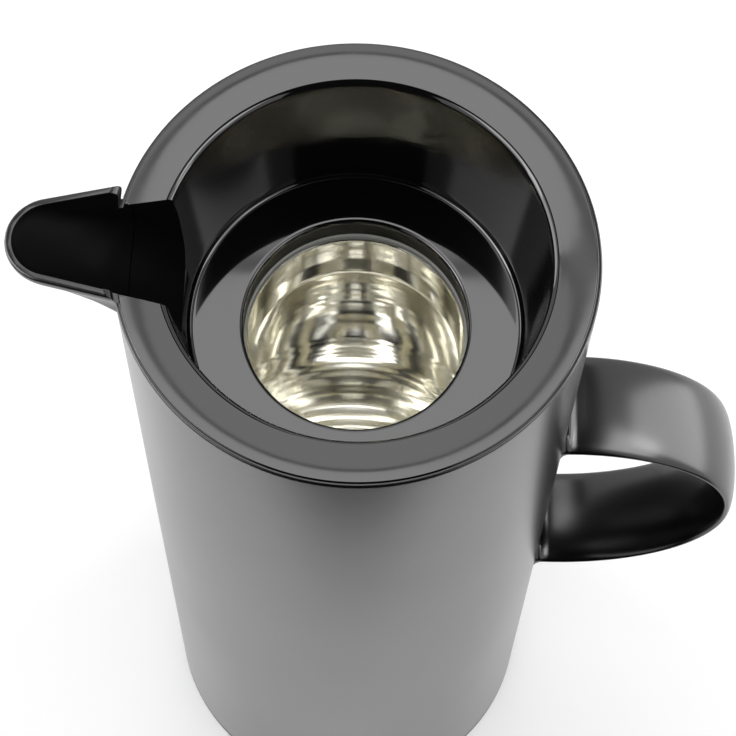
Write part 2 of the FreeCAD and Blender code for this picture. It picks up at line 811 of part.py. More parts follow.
def make_base_cap():
    """Screw-out base: a flange under the body, a threaded spigot and a recess with a bar to turn it by."""
    foot_in, foot_out = foot_radii(s.foot_clearance)
    recess_radius = foot_in - s.base_recess_margin
    seal_in, seal_out = seal_radii(s.seal_clearance)
    foot_roof = s.foot_lift + s.foot_groove_depth
    seal_floor = base_top - s.seal_groove_depth
    spigot_inside = spigot_radius - s.spigot_wall
    spigot_top = base_ridge_start + s.thread_pitch * THREAD_TURNS + s.thread_root / 2 + s.spigot_margin
    profile = [
        (ZERO, plate_bottom),
        (recess_radius, plate_bottom),
        (recess_radius, s.foot_lift),
        (foot_in, s.foot_lift),
        (foot_in, foot_roof),
        (foot_out, foot_roof),
        (foot_out, s.foot_lift),
        (s.body_radius, s.foot_lift),
        (s.body_radius, base_top),
        (seal_out, base_top),
        (seal_out, seal_floor),
        (seal_in, seal_floor),
        (seal_in, base_top),
        (spigot_radius, base_top),
        (spigot_radius, spigot_top),
        (spigot_inside, spigot_top),
        (spigot_inside, plate_top),
        (ZERO, plate_top),
    ]
    body = turned_body("base_block", profile)
    round_rings(body, s.base_edge_round, [(s.body_radius, s.foot_lift)])
    half_grip = s.base_grip_width / 2
    grip = [
        (-recess_radius, -half_grip),
        (recess_radius, -half_grip),
        (recess_radius, half_grip),
        (-recess_radius, half_grip),
    ]
    sketch = sketch_on(body, "base_grip", "XY_Plane", s.foot_lift)
    trace(sketch, grip)
    bar = body.newObject("PartDesign::Pad", "base_grip_bar")
    bar.Profile = sketch
    bind(bar, "Length", s.base_recess_depth)
    doc.recompute()
    crest = spigot_radius + s.thread_height
    ridge = thread_ridge("base_ridge", spigot_radius - s.thread_bite, crest, base_ridge_start)
    return combine("Part::MultiFuse", "base_cap", [body, ridge])


def make_base_seal():
    """Flat ring in the flange of the base, under the foot of the body."""
    inside, outside = seal_radii(ZERO)
    bottom = base_top - s.seal_groove_depth + s.seal_clearance
    top = body_bottom - s.seal_clearance
    return turned_body("base_seal", [(inside, bottom), (outside, bottom), (outside, top), (inside, top)])


def make_foot_ring():
    """Soft ring that the jug stands on, let into the base."""
    inside, outside = foot_radii(ZERO)
    top = s.foot_lift + s.foot_groove_depth
    return turned_body("foot_ring", [(inside, ZERO), (outside, ZERO), (outside, top), (inside, top)])


def make_base_cushion():
    """Cup on the base that carries the round bottom of the glass, open in the middle for its tip."""
    bottom = plate_top + s.cushion_clearance
    dome = outer_flask_radius + s.cushion_clearance
    cup_radius = outer_flask_radius - s.cushion_inset
    inner_top = dome_centre - (dome * dome - s.cushion_bore * s.cushion_bore).root()
    outer_top = dome_centre - (dome * dome - cup_radius * cup_radius).root()
    cup = [
        (s.cushion_bore, bottom),
        (cup_radius, bottom),
        (cup_radius, outer_top),
        (s.cushion_bore, inner_top, dome, -1),
    ]
    return turned_body("base_cushion", cup)


def check_document():
    """Stop if any object of the document failed."""
    for item in doc.Objects:
        if "Invalid" in item.State or "Error" in item.State:
            raise ValueError(f"{item.Label} failed: {item.State}")


def write_parts(pieces):
    """Check every piece, then write each one to its own file."""
    for piece in pieces:
        if piece.Shape.isNull() or not piece.Shape.isValid() or piece.Shape.Volume <= 0:
            raise ValueError(f"{piece.Label} has no valid shape")
    os.makedirs("parts", exist_ok=True)
    for piece in pieces:
        piece.Shape.exportStep(os.path.join("parts", f"{piece.Label}.step"))
        print(piece.Label, len(piece.Shape.Solids), "solids", round(piece.Shape.Volume), "mm3")


channel = make_channel()
pieces = [
    make_outer_body(channel),
    make_handle(),
    make_handle_screws(),
    make_collar(channel),
    make_mouth_gasket(),
    make_inner_flask(),
    make_outer_flask(),
    make_flask_spacers(),
    make_base_cushion(),
    make_base_cap(),
    make_base_seal(),
    make_foot_ring(),
]
doc.recompute()
check_document()
write_parts(pieces)
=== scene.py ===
import math

import bmesh
import bpy
import numpy as np
from mathutils import Matrix, Vector


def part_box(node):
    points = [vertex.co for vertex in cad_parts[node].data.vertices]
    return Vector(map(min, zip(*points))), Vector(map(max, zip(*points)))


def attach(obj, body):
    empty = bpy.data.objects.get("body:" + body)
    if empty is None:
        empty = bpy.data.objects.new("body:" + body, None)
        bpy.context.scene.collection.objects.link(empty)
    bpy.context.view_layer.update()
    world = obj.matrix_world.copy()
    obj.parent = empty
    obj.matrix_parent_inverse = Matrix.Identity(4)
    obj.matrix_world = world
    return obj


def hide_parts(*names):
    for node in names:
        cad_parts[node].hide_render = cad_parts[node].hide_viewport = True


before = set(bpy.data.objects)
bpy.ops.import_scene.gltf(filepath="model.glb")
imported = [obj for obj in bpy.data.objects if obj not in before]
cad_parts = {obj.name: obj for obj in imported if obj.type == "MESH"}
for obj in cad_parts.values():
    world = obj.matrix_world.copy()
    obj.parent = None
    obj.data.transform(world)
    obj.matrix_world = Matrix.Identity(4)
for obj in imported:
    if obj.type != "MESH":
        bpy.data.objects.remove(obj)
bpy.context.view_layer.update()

bl_info = {
    "name": "Vacuum jug",
    "version": (1, 0, 0),
    "blender": (4, 5, 0),
    "location": "View3D > Sidebar > Jug",
    "description": "Dresses the frame of a vacuum jug with its finished surfaces",
    "category": "Object",
}

# The box of the frame before any piece is added
MM = 0.001
# Segments round the jug, and round the small rings of its base
ROUND_SEGMENTS = 256
RING_SEGMENTS = 192
# Points of an outline closer than this become one
WELD = 1e-6
# A rounded corner: degrees to a step, fewest steps, and the most it takes of the runs beside it
CORNER_STEP = 12
CORNER_STEPS_LEAST = 3
CORNER_SHARE = 0.49
# Support points stand this many millimetres from the ends of a run that is this many times longer
SUPPORT = 0.5
LONG_RUN = 4
# Edges that turn by more than this stay sharp, in degrees
SHARP_ANGLE = 38

BODY_LOW, BODY_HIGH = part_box("outer_body")
HANDLE_LOW, HANDLE_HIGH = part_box("handle")
HANDLE_MIDDLE = (HANDLE_LOW.z + HANDLE_HIGH.z) / 2


def length(name, description, default):
    return bpy.props.FloatProperty(
        name=name, description=description, default=default, unit="LENGTH", precision=5)


class JugSizes(bpy.types.PropertyGroup):
    """Sizes of the jug that a user would change"""

    body_radius: length("Body radius", "Outside radius of the body", BODY_HIGH.y)
    body_bottom: length("Body bottom", "Height of the body's lower edge", BODY_LOW.z)
    body_top: length("Body top", "Height of the joint between body and collar", 0.2755)
    body_wall: length("Body wall", "Thickness of the body's wall", 0.0026)
    rim_top: length("Rim height", "Height of the beak's rim", BODY_HIGH.z)
    beak_reach: length("Beak reach", "How far the beak stands out of the body", 0.0227)
    beak_wall: length("Beak wall", "Thickness of the beak", 0.0017)
    rim_round: length("Rim round", "Rounding of the beak's rim", 0.0006)
    ring_width: length("Ring width", "Width of the collar from the body to the funnel", 0.0106)
    funnel_depth: length("Funnel depth", "Depth of the funnel below the joint", 0.036)
    funnel_taper: length("Funnel taper", "How much narrower the funnel is at its floor", 0.004)
    mouth_radius: length("Mouth radius", "Radius of the hole in the funnel's floor", 0.0259)
    handle_height: length("Handle height", "Height of the handle's middle", HANDLE_MIDDLE)
    handle_ring: length("Handle ring", "Radius of the handle's half ring", 0.0425)
    handle_width: length("Handle width", "Width of the handle's band", 0.0262)
    handle_thickness: length("Handle thickness", "Thickness of the handle's band", 0.005)
    handle_flare: length("Handle flare", "Spread of the handle where it meets the body", 0.0026)


def colour(name, description, default):
    return bpy.props.StringProperty(name=name, description=description, default=default)


class JugColours(bpy.types.PropertyGroup):
    """Colours of the jug's materials as sRGB hex values"""

    satin_plastic: colour("Satin plastic", "Body, handle and base", "#070708")
    gloss_plastic: colour("Gloss plastic", "Collar and funnel", "#0A0A0B")
    silvering: colour("Silvering", "Silver behind the glass", "#F9F8F3")
    gasket: colour("Gasket", "Rubber ring on the lip of the glass", "#B0B0AA")
    rubber: colour("Rubber", "Foot, seal and cushion", "#1B1B1C")
    zinc: colour("Zinc plating", "Handle screws", "#B9B9B4")
    ceramic: colour("Ceramic", "Pads between the glasses", "#DDD8C8")
    floor: colour("Floor", "Table top", "#F4F4F4")


# Materials. How each surface was made, and the size of its grain, are guesses at what is usual.

def linear(text):
    """An sRGB hex value as a linear colour."""
    values = [int(text[place:place + 2], 16) / 255 for place in (1, 3, 5)]
    return [v / 12.92 if v <= 0.04045 else ((v + 0.055) / 1.055) ** 2.4 for v in values] + [1.0]


def add(tree, kind, inputs=None, **settings):
    """Add a node with its settings, its values and its links."""
    node = tree.nodes.new(kind)
    for name, value in settings.items():
        setattr(node, name, value)
    for name, value in (inputs or {}).items():
        if isinstance(value, bpy.types.NodeSocket):
            tree.links.new(value, node.inputs[name])
        else:
            node.inputs[name].default_value = value
    return node


def per_metre(millimetres):
    """The texture scale that gives a pattern of this size."""
    return 1 / (millimetres * MM)


def new_material(name):
    material = bpy.data.materials.new(name)
    material.use_nodes = True
    tree = material.node_tree
    tree.nodes.clear()
    return material, tree


def finish_material(tree, shader):
    add(tree, "ShaderNodeOutputMaterial", {"Surface": shader.outputs[0]})


def grained(name, size, detail, strength, depth):
    """A material with a grain of a size and a depth in millimetres, and the relief it gives."""
    material, tree = new_material(name)
    place = add(tree, "ShaderNodeTexCoord").outputs["Object"]
    grain = add(tree, "ShaderNodeTexNoise", {
        "Vector": place, "Scale": per_metre(size), "Detail": detail,
    }).outputs["Fac"]
    relief = add(tree, "ShaderNodeBump", {
        "Height": grain, "Strength": strength, "Distance": depth * MM,
    }).outputs["Normal"]
    return material, tree, place, grain, relief


def surfaced(tree, hex_colour, wear, low, high, relief, **more):
    """Finish a material whose roughness goes from low to high with its wear."""
    roughness = add(tree, "ShaderNodeMapRange", {"Value": wear, "To Min": low, "To Max": high})
    shader = add(tree, "ShaderNodeBsdfPrincipled", {
        "Base Color": linear(hex_colour), "Roughness": roughness.outputs["Result"],
        "Normal": relief, **more,
    })
    finish_material(tree, shader)


# ABS is about 1.54; this is raised, so that the mirrored greys come near the photo's
PLASTIC_IOR = 1.66


def satin_plastic(colours):
    """Moulded ABS from a spark-eroded tool: black, with a broad soft sheen."""
    # The tool's grain is about 0.1 mm; it is drawn at 0.5 mm so that it shows
    material, tree, place, _, relief = grained(
        "moulded_abs_satin_black", size=0.5, detail=3.0, strength=0.08, depth=0.03)
    # The plastic's flow in the tool makes clouds of about 60 mm
    flow = add(tree, "ShaderNodeTexNoise", {"Vector": place, "Scale": per_metre(60), "Detail": 2.0})
    surfaced(tree, colours.satin_plastic, flow.outputs["Fac"], low=0.2, high=0.26, relief=relief,
             IOR=PLASTIC_IOR)
    return material


# In the photo the funnel's wall and its mouth are darker than the ring, so both are made rougher
# and less of a mirror. A band is the two heights in millimetres that a finish changes
# between.
# The lower mirror strength in the funnel's wall and its mouth is painted shade; their greater
# roughness is a finish
MOUTH_BAND = (238.0, 239.0)
WALL_FOOT_BAND = (241.0, 242.5)
WALL_TOP_BAND = (272.5, 274.5)
RING_ROUGHNESS, WALL_ROUGHNESS, MOUTH_ROUGHNESS = 0.02, 0.1, 0.4
WIPE_ROUGHNESS = 0.04
RING_SHINE, WALL_PAINTED_SHADE, MOUTH_SHINE_PAINTED_SHADE = 0.5, -0.22, 0.12


def gloss_plastic(colours):
    """Moulded ABS from a polished tool: deep black, with clear mirror images and wiping marks."""
    # The tool's polish leaves ripples of about 9 mm, and wiping leaves marks of about 14 mm
    material, tree, place, _, relief = grained(
        "moulded_abs_gloss_black", size=9, detail=1.0, strength=0.05, depth=0.05)
    smear = add(tree, "ShaderNodeTexNoise", {
        "Vector": place, "Scale": per_metre(14), "Detail": 5.0,
    }).outputs["Fac"]
    height = add(tree, "ShaderNodeSeparateXYZ", {"Vector": place}).outputs["Z"]
    steps = []
    for (low, high), start, end in (
        (WALL_FOOT_BAND, 0.0, 1.0),
        (WALL_TOP_BAND, 1.0, 0.0),
        (MOUTH_BAND, MOUTH_ROUGHNESS, RING_ROUGHNESS),
        (MOUTH_BAND, MOUTH_SHINE_PAINTED_SHADE, RING_SHINE),
    ):
        steps.append(add(tree, "ShaderNodeMapRange", {
            "Value": height, "From Min": low * MM, "From Max": high * MM,
            "To Min": start, "To Max": end,
        }).outputs["Result"])
    foot, head, rough, shine = steps
    wall = add(tree, "ShaderNodeMath", {0: foot, 1: head}, operation="MULTIPLY").outputs["Value"]
    for share, size in ((wall, WALL_ROUGHNESS), (smear, WIPE_ROUGHNESS)):
        rough = add(tree, "ShaderNodeMath", {0: share, 1: size, 2: rough},
                    operation="MULTIPLY_ADD").outputs["Value"]
    # Painted shade: the mirror strength is lowered in the funnel's wall here, as it is in the mouth
    # by the step above
    shine = add(tree, "ShaderNodeMath", {0: wall, 1: WALL_PAINTED_SHADE, 2: shine},
                operation="MULTIPLY_ADD").outputs["Value"]
    shader = add(tree, "ShaderNodeBsdfPrincipled", {
        "Base Color": linear(colours.gloss_plastic), "Roughness": rough, "Normal": relief,
        "IOR": PLASTIC_IOR, "Specular IOR Level": shine,
    })
    finish_material(tree, shader)
    return material


# The photo's channel is black, so its mirror is turned down, far below that of real ABS
# This lowered sheen is painted shade in the deep channel
CHANNEL_SHINE_PAINTED_SHADE = 0.02


def matt_plastic_painted_shade(colours):
    """Moulded ABS from a sand-blasted tool: black, with its sheen turned down as painted shade, so
    it looks deep.
    """
    # The blasted grain is about 0.15 mm; it is drawn at 0.6 mm so that it shows
    material, tree, _, grain, relief = grained(
        "moulded_abs_matt_black_painted_shade", size=0.6, detail=3.0, strength=0.1, depth=0.05)
    surfaced(tree, colours.gloss_plastic, grain, low=0.34, high=0.46, relief=relief,
             **{"Specular IOR Level": CHANNEL_SHINE_PAINTED_SHADE})
    return material


def silvered_glass(colours):
    """Blown glass silvered on its hidden side: a warm mirror with the waves of drawn glass."""
    material, tree = new_material("blown_glass_silvered")
    place = add(tree, "ShaderNodeTexCoord").outputs["Object"]
    height = add(tree, "ShaderNodeSeparateXYZ", {"Vector": place}).outputs["Z"]
    # Rings from turning the hot glass are about 9 mm apart, and its waves about 22 mm
    rings = add(tree, "ShaderNodeTexNoise", {"W": height, "Scale": per_metre(9), "Detail": 1.5},
                noise_dimensions="1D").outputs["Fac"]
    wave = add(tree, "ShaderNodeTexNoise", {
        "Vector": place, "Scale": per_metre(22), "Detail": 1.0,
    }).outputs["Fac"]
    both = add(tree, "ShaderNodeMath", {0: rings, 1: wave}, operation="ADD").outputs["Value"]
    relief = add(tree, "ShaderNodeBump", {"Height": both, "Strength": 0.25, "Distance": 0.3 * MM})
    surfaced(tree, colours.silvering, wave, low=0.04, high=0.1, relief=relief.outputs["Normal"],
             Metallic=1.0)
    return material


def rubber(name, hex_colour, low, high):
    """Moulded rubber: dull, with a fine uneven skin."""
    # The skin's grain is about 0.2 mm; it is drawn at 0.8 mm so that it shows
    material, tree, _, skin, relief = grained(
        name, size=0.8, detail=4.0, strength=0.15, depth=0.05)
    surfaced(tree, hex_colour, skin, low, high, relief)
    return material


def zinc_plate(colours):
    """Zinc-plated steel: a pale grey metal with a slightly cloudy shine."""
    # The plating's clouds are about 1.5 mm across
    material, tree, _, cloud, relief = grained(
        "steel_zinc_plated", size=1.5, detail=3.0, strength=0.1, depth=0.02)
    surfaced(tree, colours.zinc, cloud, low=0.25, high=0.4, relief=relief, Metallic=1.0)
    return material


def ceramic_pad(colours):
    """Pressed ceramic: off-white and matt, with a chalky grain."""
    # The pressed grain is about 0.4 mm
    material, tree, _, grain, relief = grained(
        "pressed_ceramic_pad", size=0.4, detail=4.0, strength=0.2, depth=0.05)
    surfaced(tree, colours.ceramic, grain, low=0.7, high=0.9, relief=relief)
    return material


MATERIALS = {}


def make_materials(colours):
    MATERIALS["satin"] = satin_plastic(colours)
    MATERIALS["gloss"] = gloss_plastic(colours)
    # The channel's matt material, whose lowered sheen is painted shade
    MATERIALS["matt"] = matt_plastic_painted_shade(colours)
    MATERIALS["silver"] = silvered_glass(colours)
    MATERIALS["gasket"] = rubber("moulded_rubber_grey", colours.gasket, low=0.44, high=0.56)
    MATERIALS["rubber"] = rubber("moulded_rubber_black", colours.rubber, low=0.59, high=0.71)
    MATERIALS["zinc"] = zinc_plate(colours)
    MATERIALS["ceramic"] = ceramic_pad(colours)


# Outlines in millimetres

def softened(corners, closed=True):
    """Round the corners of an outline, each given as radius, height and rounding."""
    points = []
    count = len(corners)
    for index, (x, z, rounding) in enumerate(corners):
        here = Vector((x, z))
        if rounding == 0:
            points.append(here)
            continue
        back = Vector(corners[index - 1][:2]) - here
        on = Vector(corners[(index + 1) % count][:2]) - here
        half = back.angle(on) / 2
        room = min(back.length, on.length) * CORNER_SHARE
        reach = min(rounding / math.tan(half), room)
        radius = reach * math.tan(half)
        inward = (back.normalized() + on.normalized()).normalized()
        centre = here + inward * (radius / math.sin(half))
        start = here + back.normalized() * reach - centre
        sweep = math.pi - 2 * half
        turn = 1 if back.x * on.y - back.y * on.x < 0 else -1
        steps = max(CORNER_STEPS_LEAST, math.ceil(math.degrees(sweep) / CORNER_STEP))
        for step in range(steps + 1):
            points.append(centre + Matrix.Rotation(turn * sweep * step / steps, 2) @ start)
    return supported(points, closed)


def supported(points, closed=True):
    """Add a point beside each end of every long straight run."""
    result = []
    pairs = zip(points, points[1:] + points[:1]) if closed else zip(points, points[1:])
    for start, end in pairs:
        result.append(start)
        run = end - start
        if run.length > LONG_RUN * SUPPORT:
            result.append(start + run.normalized() * SUPPORT)
            result.append(end - run.normalized() * SUPPORT)
    return result + ([points[0]] if closed else [points[-1]])


def arc(centre, radius, start, end, steps):
    """Points of an arc between two angles in degrees."""
    angles = np.radians(np.linspace(start, end, steps + 1))
    return [Vector(centre) + radius * Vector((math.cos(a), math.sin(a))) for a in angles]


# Geometry

def socket_id(tree, name):
    for item in tree.interface.items_tree:
        if item.item_type == "SOCKET" and item.in_out == "INPUT" and item.name == name:
            return item.identifier
    raise ValueError(f"{tree.name} has no input named {name}")


def new_tree(name, inputs):
    """A geometry tree with a geometry input and output and the given further inputs."""
    tree = bpy.data.node_groups.new(name, "GeometryNodeTree")
    tree.interface.new_socket("Geometry", in_out="INPUT", socket_type="NodeSocketGeometry")
    for label, kind in inputs:
        tree.interface.new_socket(label, in_out="INPUT", socket_type=kind)
    tree.interface.new_socket("Geometry", in_out="OUTPUT", socket_type="NodeSocketGeometry")
    return tree


def end_tree(tree, geometry, material):
    whole = add(tree, "GeometryNodeRealizeInstances", {"Geometry": geometry})
    dressed = add(tree, "GeometryNodeSetMaterial", {
        "Geometry": whole.outputs[0], "Material": material,
    })
    add(tree, "NodeGroupOutput", {"Geometry": dressed.outputs[0]})


def lathe_tree():
    """Turn a chain of points, whose X is a radius and Z a height, about the Z axis."""
    tree = new_tree("turned_shell", [
        ("Segments", "NodeSocketInt"), ("Material", "NodeSocketMaterial"),
    ])
    given = add(tree, "NodeGroupInput").outputs
    chain, segments = given["Geometry"], given["Segments"]
    count = add(tree, "GeometryNodeAttributeDomainSize", {"Geometry": chain}).outputs["Point Count"]
    columns = add(tree, "FunctionNodeIntegerMath", {0: segments, 1: 1}, operation="ADD").outputs[0]
    grid = add(tree, "GeometryNodeMeshGrid", {"Vertices X": count, "Vertices Y": columns})
    index = add(tree, "GeometryNodeInputIndex").outputs[0]
    pair = {0: index, 1: columns}
    point = add(tree, "FunctionNodeIntegerMath", pair, operation="DIVIDE_FLOOR").outputs[0]
    column = add(tree, "FunctionNodeIntegerMath", pair, operation="MODULO").outputs[0]
    position = add(tree, "GeometryNodeInputPosition").outputs[0]
    sample = add(tree, "GeometryNodeSampleIndex", {"Geometry": chain, "Index": point},
                 data_type="FLOAT_VECTOR")
    tree.links.new(position, next(s for s in sample.inputs if s.name == "Value" and s.enabled))
    sampled = next(s for s in sample.outputs if s.enabled)
    parts = add(tree, "ShaderNodeSeparateXYZ", {"Vector": sampled}).outputs
    share = add(tree, "ShaderNodeMath", {0: column, 1: segments}, operation="DIVIDE").outputs[0]
    angle = add(tree, "ShaderNodeMath", {0: share, 1: math.tau}, operation="MULTIPLY").outputs[0]
    place = {"Z": parts["Z"]}
    for axis, function in (("X", "COSINE"), ("Y", "SINE")):
        wave = add(tree, "ShaderNodeMath", {0: angle}, operation=function).outputs[0]
        reach = add(tree, "ShaderNodeMath", {0: wave, 1: parts["X"]}, operation="MULTIPLY")
        place[axis] = reach.outputs[0]
    spot = add(tree, "ShaderNodeCombineXYZ", place).outputs[0]
    moved = add(tree, "GeometryNodeSetPosition", {
        "Geometry": grid.outputs["Mesh"], "Position": spot,
    }).outputs[0]
    welded = add(tree, "GeometryNodeMergeByDistance", {"Geometry": moved, "Distance": WELD})
    end_tree(tree, welded.outputs[0], given["Material"])
    return tree


# Steps in each turn of the thread
THREAD_STEPS = 96


def thread_tree():
    """Sweep a section along a rising spiral about the Z axis."""
    tree = new_tree("thread_ridge", [
        ("Radius", "NodeSocketFloat"), ("Pitch", "NodeSocketFloat"), ("Turns", "NodeSocketFloat"),
        ("Start", "NodeSocketFloat"), ("Material", "NodeSocketMaterial"),
    ])
    given = add(tree, "NodeGroupInput").outputs
    rise = add(tree, "ShaderNodeMath", {0: given["Pitch"], 1: given["Turns"]}, operation="MULTIPLY")
    spiral = add(tree, "GeometryNodeCurveSpiral", {
        "Resolution": THREAD_STEPS, "Rotations": given["Turns"], "Start Radius": given["Radius"],
        "End Radius": given["Radius"], "Height": rise.outputs[0],
    }).outputs[0]
    upright = add(tree, "GeometryNodeSetCurveNormal", {"Curve": spiral}, mode="Z_UP").outputs[0]
    section = add(tree, "GeometryNodeMeshToCurve", {"Mesh": given["Geometry"]}).outputs[0]
    ridge = add(tree, "GeometryNodeCurveToMesh", {
        "Curve": upright, "Profile Curve": section, "Fill Caps": True,
    }).outputs[0]
    lift = add(tree, "ShaderNodeCombineXYZ", {"Z": given["Start"]}).outputs[0]
    raised = add(tree, "GeometryNodeTransform", {"Geometry": ridge, "Translation": lift}).outputs[0]
    end_tree(tree, raised, given["Material"])
    return tree


def link(name, mesh):
    thing = bpy.data.objects.new(name, mesh)
    bpy.context.scene.collection.objects.link(thing)
    return thing


def settle(thing):
    """Turn an object with modifiers into a plain mesh."""
    view = bpy.context.evaluated_depsgraph_get()
    mesh = bpy.data.meshes.new_from_object(thing.evaluated_get(view))
    thing.modifiers.clear()
    thing.data = mesh
    return thing


def run_tree(thing, tree, values):
    """Give an object a geometry tree with its values, then keep the result as a plain mesh."""
    modifier = thing.modifiers.new(tree.name, "NODES")
    modifier.node_group = tree
    for name, value in values.items():
        modifier[socket_id(tree, name)] = value
    return settle(thing)


def outward(thing):
    """Weld doubles and turn every face outwards."""
    work = bmesh.new()
    work.from_mesh(thing.data)
    bmesh.ops.remove_doubles(work, verts=work.verts, dist=WELD)
    bmesh.ops.dissolve_degenerate(work, dist=WELD, edges=work.edges)
    bmesh.ops.recalc_face_normals(work, faces=work.faces)
    work.to_mesh(thing.data)
    work.free()
    return thing


def smooth(thing, angle=SHARP_ANGLE):
    thing.data.shade_smooth()
    thing.data.set_sharp_from_angle(angle=math.radians(angle))
    return thing


TREES = {}


def turned(name, outline, material, segments=ROUND_SEGMENTS):
    """A shell turned from a closed outline in millimetres."""
    mesh = bpy.data.meshes.new(name)
    points = [(p[0] * MM, 0, p[1] * MM) for p in outline]
    mesh.from_pydata(points, [(n, n + 1) for n in range(len(points) - 1)], [])
    values = {"Segments": segments, "Material": material}
    return smooth(outward(run_tree(link(name, mesh), TREES["lathe"], values)))


def skinned(name, rows, material):
    """A skin over closed rows of points in millimetres, capped at both ends."""
    grid = np.array(rows, float) * MM
    count, across = grid.shape[:2]
    faces = []
    for row in range(count - 1):
        for place in range(across):
            beside = (place + 1) % across
            faces.append((row * across + place, row * across + beside,
                          (row + 1) * across + beside, (row + 1) * across + place))
    faces.append(tuple(range(across)))
    faces.append(tuple((count - 1) * across + place for place in range(across)))
    mesh = bpy.data.meshes.new(name)
    mesh.from_pydata(grid.reshape(-1, 3).tolist(), [], faces)
    mesh.materials.append(material)
    return outward(link(name, mesh))


def carve(thing, tool, operation):
    """Join a tool to a piece or cut it away, and drop the tool."""
    modifier = thing.modifiers.new("carve", "BOOLEAN")
    modifier.operation = operation
    modifier.solver = "EXACT"
    modifier.material_mode = "TRANSFER"
    modifier.object = tool
    settle(thing)
    bpy.data.objects.remove(tool)
    return thing


def joined(name, things):
    """Several shells as one piece."""
    work = bmesh.new()
    slots = []
    for thing in things:
        for material in thing.data.materials:
            if material not in slots:
                slots.append(material)
    for thing in things:
        numbers = [slots.index(m) for m in thing.data.materials]
        start = len(work.faces)
        work.from_mesh(thing.data)
        work.faces.ensure_lookup_table()
        for face in work.faces[start:]:
            face.material_index = numbers[face.material_index]
    mesh = bpy.data.meshes.new(name)
    work.to_mesh(mesh)
    work.free()
    for material in slots:
        mesh.materials.append(material)
    for thing in things:
        bpy.data.objects.remove(thing)
    return link(name, mesh)


def place_piece(thing, body, slot, *nodes):
    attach(thing, body)
    if nodes:
        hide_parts(*nodes)
    return thing


def dress(node, material):
    """Give a frame node that stays a finished material."""
    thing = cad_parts[node]
    thing.data.materials.clear()
    thing.data.materials.append(material)


# The beak and its channel

# Levels of the beak below its rim: depth, reach of the tip and roundness of the tip, as shares
BEAK_SHARES = [
    (0.0, 1.0, 1.0), (0.12, 0.98, 1.0), (0.25, 0.78, 1.0), (0.42, 0.51, 1.1),
    (0.66, 0.25, 1.25), (0.92, 0.05, 1.35), (1.28, -0.2, 1.35),
]
# Levels of the channel below the beak: way down, way back and roundness of its front, as shares
CHANNEL_SHARES = [(0.0, 0.0, 1.3), (0.35, 0.38, 1.3), (0.7, 0.72, 1.3), (1.0, 1.0, 1.3)]
BEAK_DEPTH = 19.4
BEAK_TIP = 10.0
BEAK_TAPER = math.radians(13)
CHANNEL_DEPTH = 29.5
CHANNEL_STEP = 0.2
# The rim ends this far from the body's round, with rounded upper corners and a soft inner edge
RIM_GAP = 0.2
RIM_CORNER = 2.0
RIM_SOFT = 0.25
COLLAR_WALL = 2.0
# Steps round the tip, along each side, from level to level, and in the rim's roundings
TIP_STEPS = 40
SIDE_STEPS = 26
LEVEL_STEP = 0.5
RIM_STEPS = 6
RIM_CORNER_STEPS = 9
# Heights of a flare's levels as shares of its rounding
FLARE_SHARES = (0.0, 0.3, 0.55, 0.75, 0.9, 1.0)
# How far a cutting tool reaches past what it cuts
PAST = 10.0


def spline(levels, height):
    """Reach and roundness at a height, on a smooth curve through the levels."""
    z = np.array([level[0] for level in levels])
    order = np.argsort(z)
    z = z[order]
    values = np.array([level[1:] for level in levels])[order]
    slopes = np.gradient(values, z, axis=0)
    place = int(np.clip(np.searchsorted(z, height) - 1, 0, len(z) - 2))
    step = z[place + 1] - z[place]
    t = np.clip((height - z[place]) / step, 0, 1)
    a = (1 + 2 * t) * (1 - t) ** 2 * values[place] + t * (1 - t) ** 2 * step * slopes[place]
    b = t * t * (3 - 2 * t) * values[place + 1] + t * t * (t - 1) * step * slopes[place + 1]
    return a + b


def tongue(reach, tip, back, spread=0.0):
    """A level tongue towards -X from a straight back, widened by a spread, as plan points."""
    tip = tip + spread
    reach = reach + spread
    touch = reach - tip + tip * math.sin(BEAK_TAPER)
    half = tip * math.cos(BEAK_TAPER)
    slope = math.tan(BEAK_TAPER)
    side = [(a, half + (touch - a) * slope) for a in np.linspace(back, touch, SIDE_STEPS)]
    turn = math.pi / 2 - BEAK_TAPER
    angles = np.linspace(turn, -turn, TIP_STEPS)
    tips = [(reach - tip + tip * math.cos(a), tip * math.sin(a)) for a in angles]
    plan = side[:-1] + tips + [(a, -y) for a, y in reversed(side[:-1])]
    return [(-a, y) for a, y in plan]


def beak_levels(s):
    radius, rim, reach = s.body_radius / MM, s.rim_top / MM, s.beak_reach / MM
    return [(rim - BEAK_DEPTH * d, radius + reach * r, BEAK_TIP * t) for d, r, t in BEAK_SHARES]


def channel_levels(s):
    radius, rim, wall = s.body_radius / MM, s.rim_top / MM, s.beak_wall / MM
    root = rim - BEAK_DEPTH + wall
    levels = [(rim + PAST, radius + s.beak_reach / MM - wall, BEAK_TIP - wall)]
    levels += [(z + wall, r - wall, t - wall) for z, r, t in beak_levels(s) if z > root]
    bottom = s.body_top / MM - CHANNEL_DEPTH
    start = radius - (s.ring_width + s.funnel_taper) / MM + CHANNEL_STEP
    front = radius - wall
    for depth, way, round_share in CHANNEL_SHARES:
        height, reach = root + (bottom - root) * depth, front + (start - front) * way
        levels.append((height, reach, BEAK_TIP * round_share - wall))
    return levels


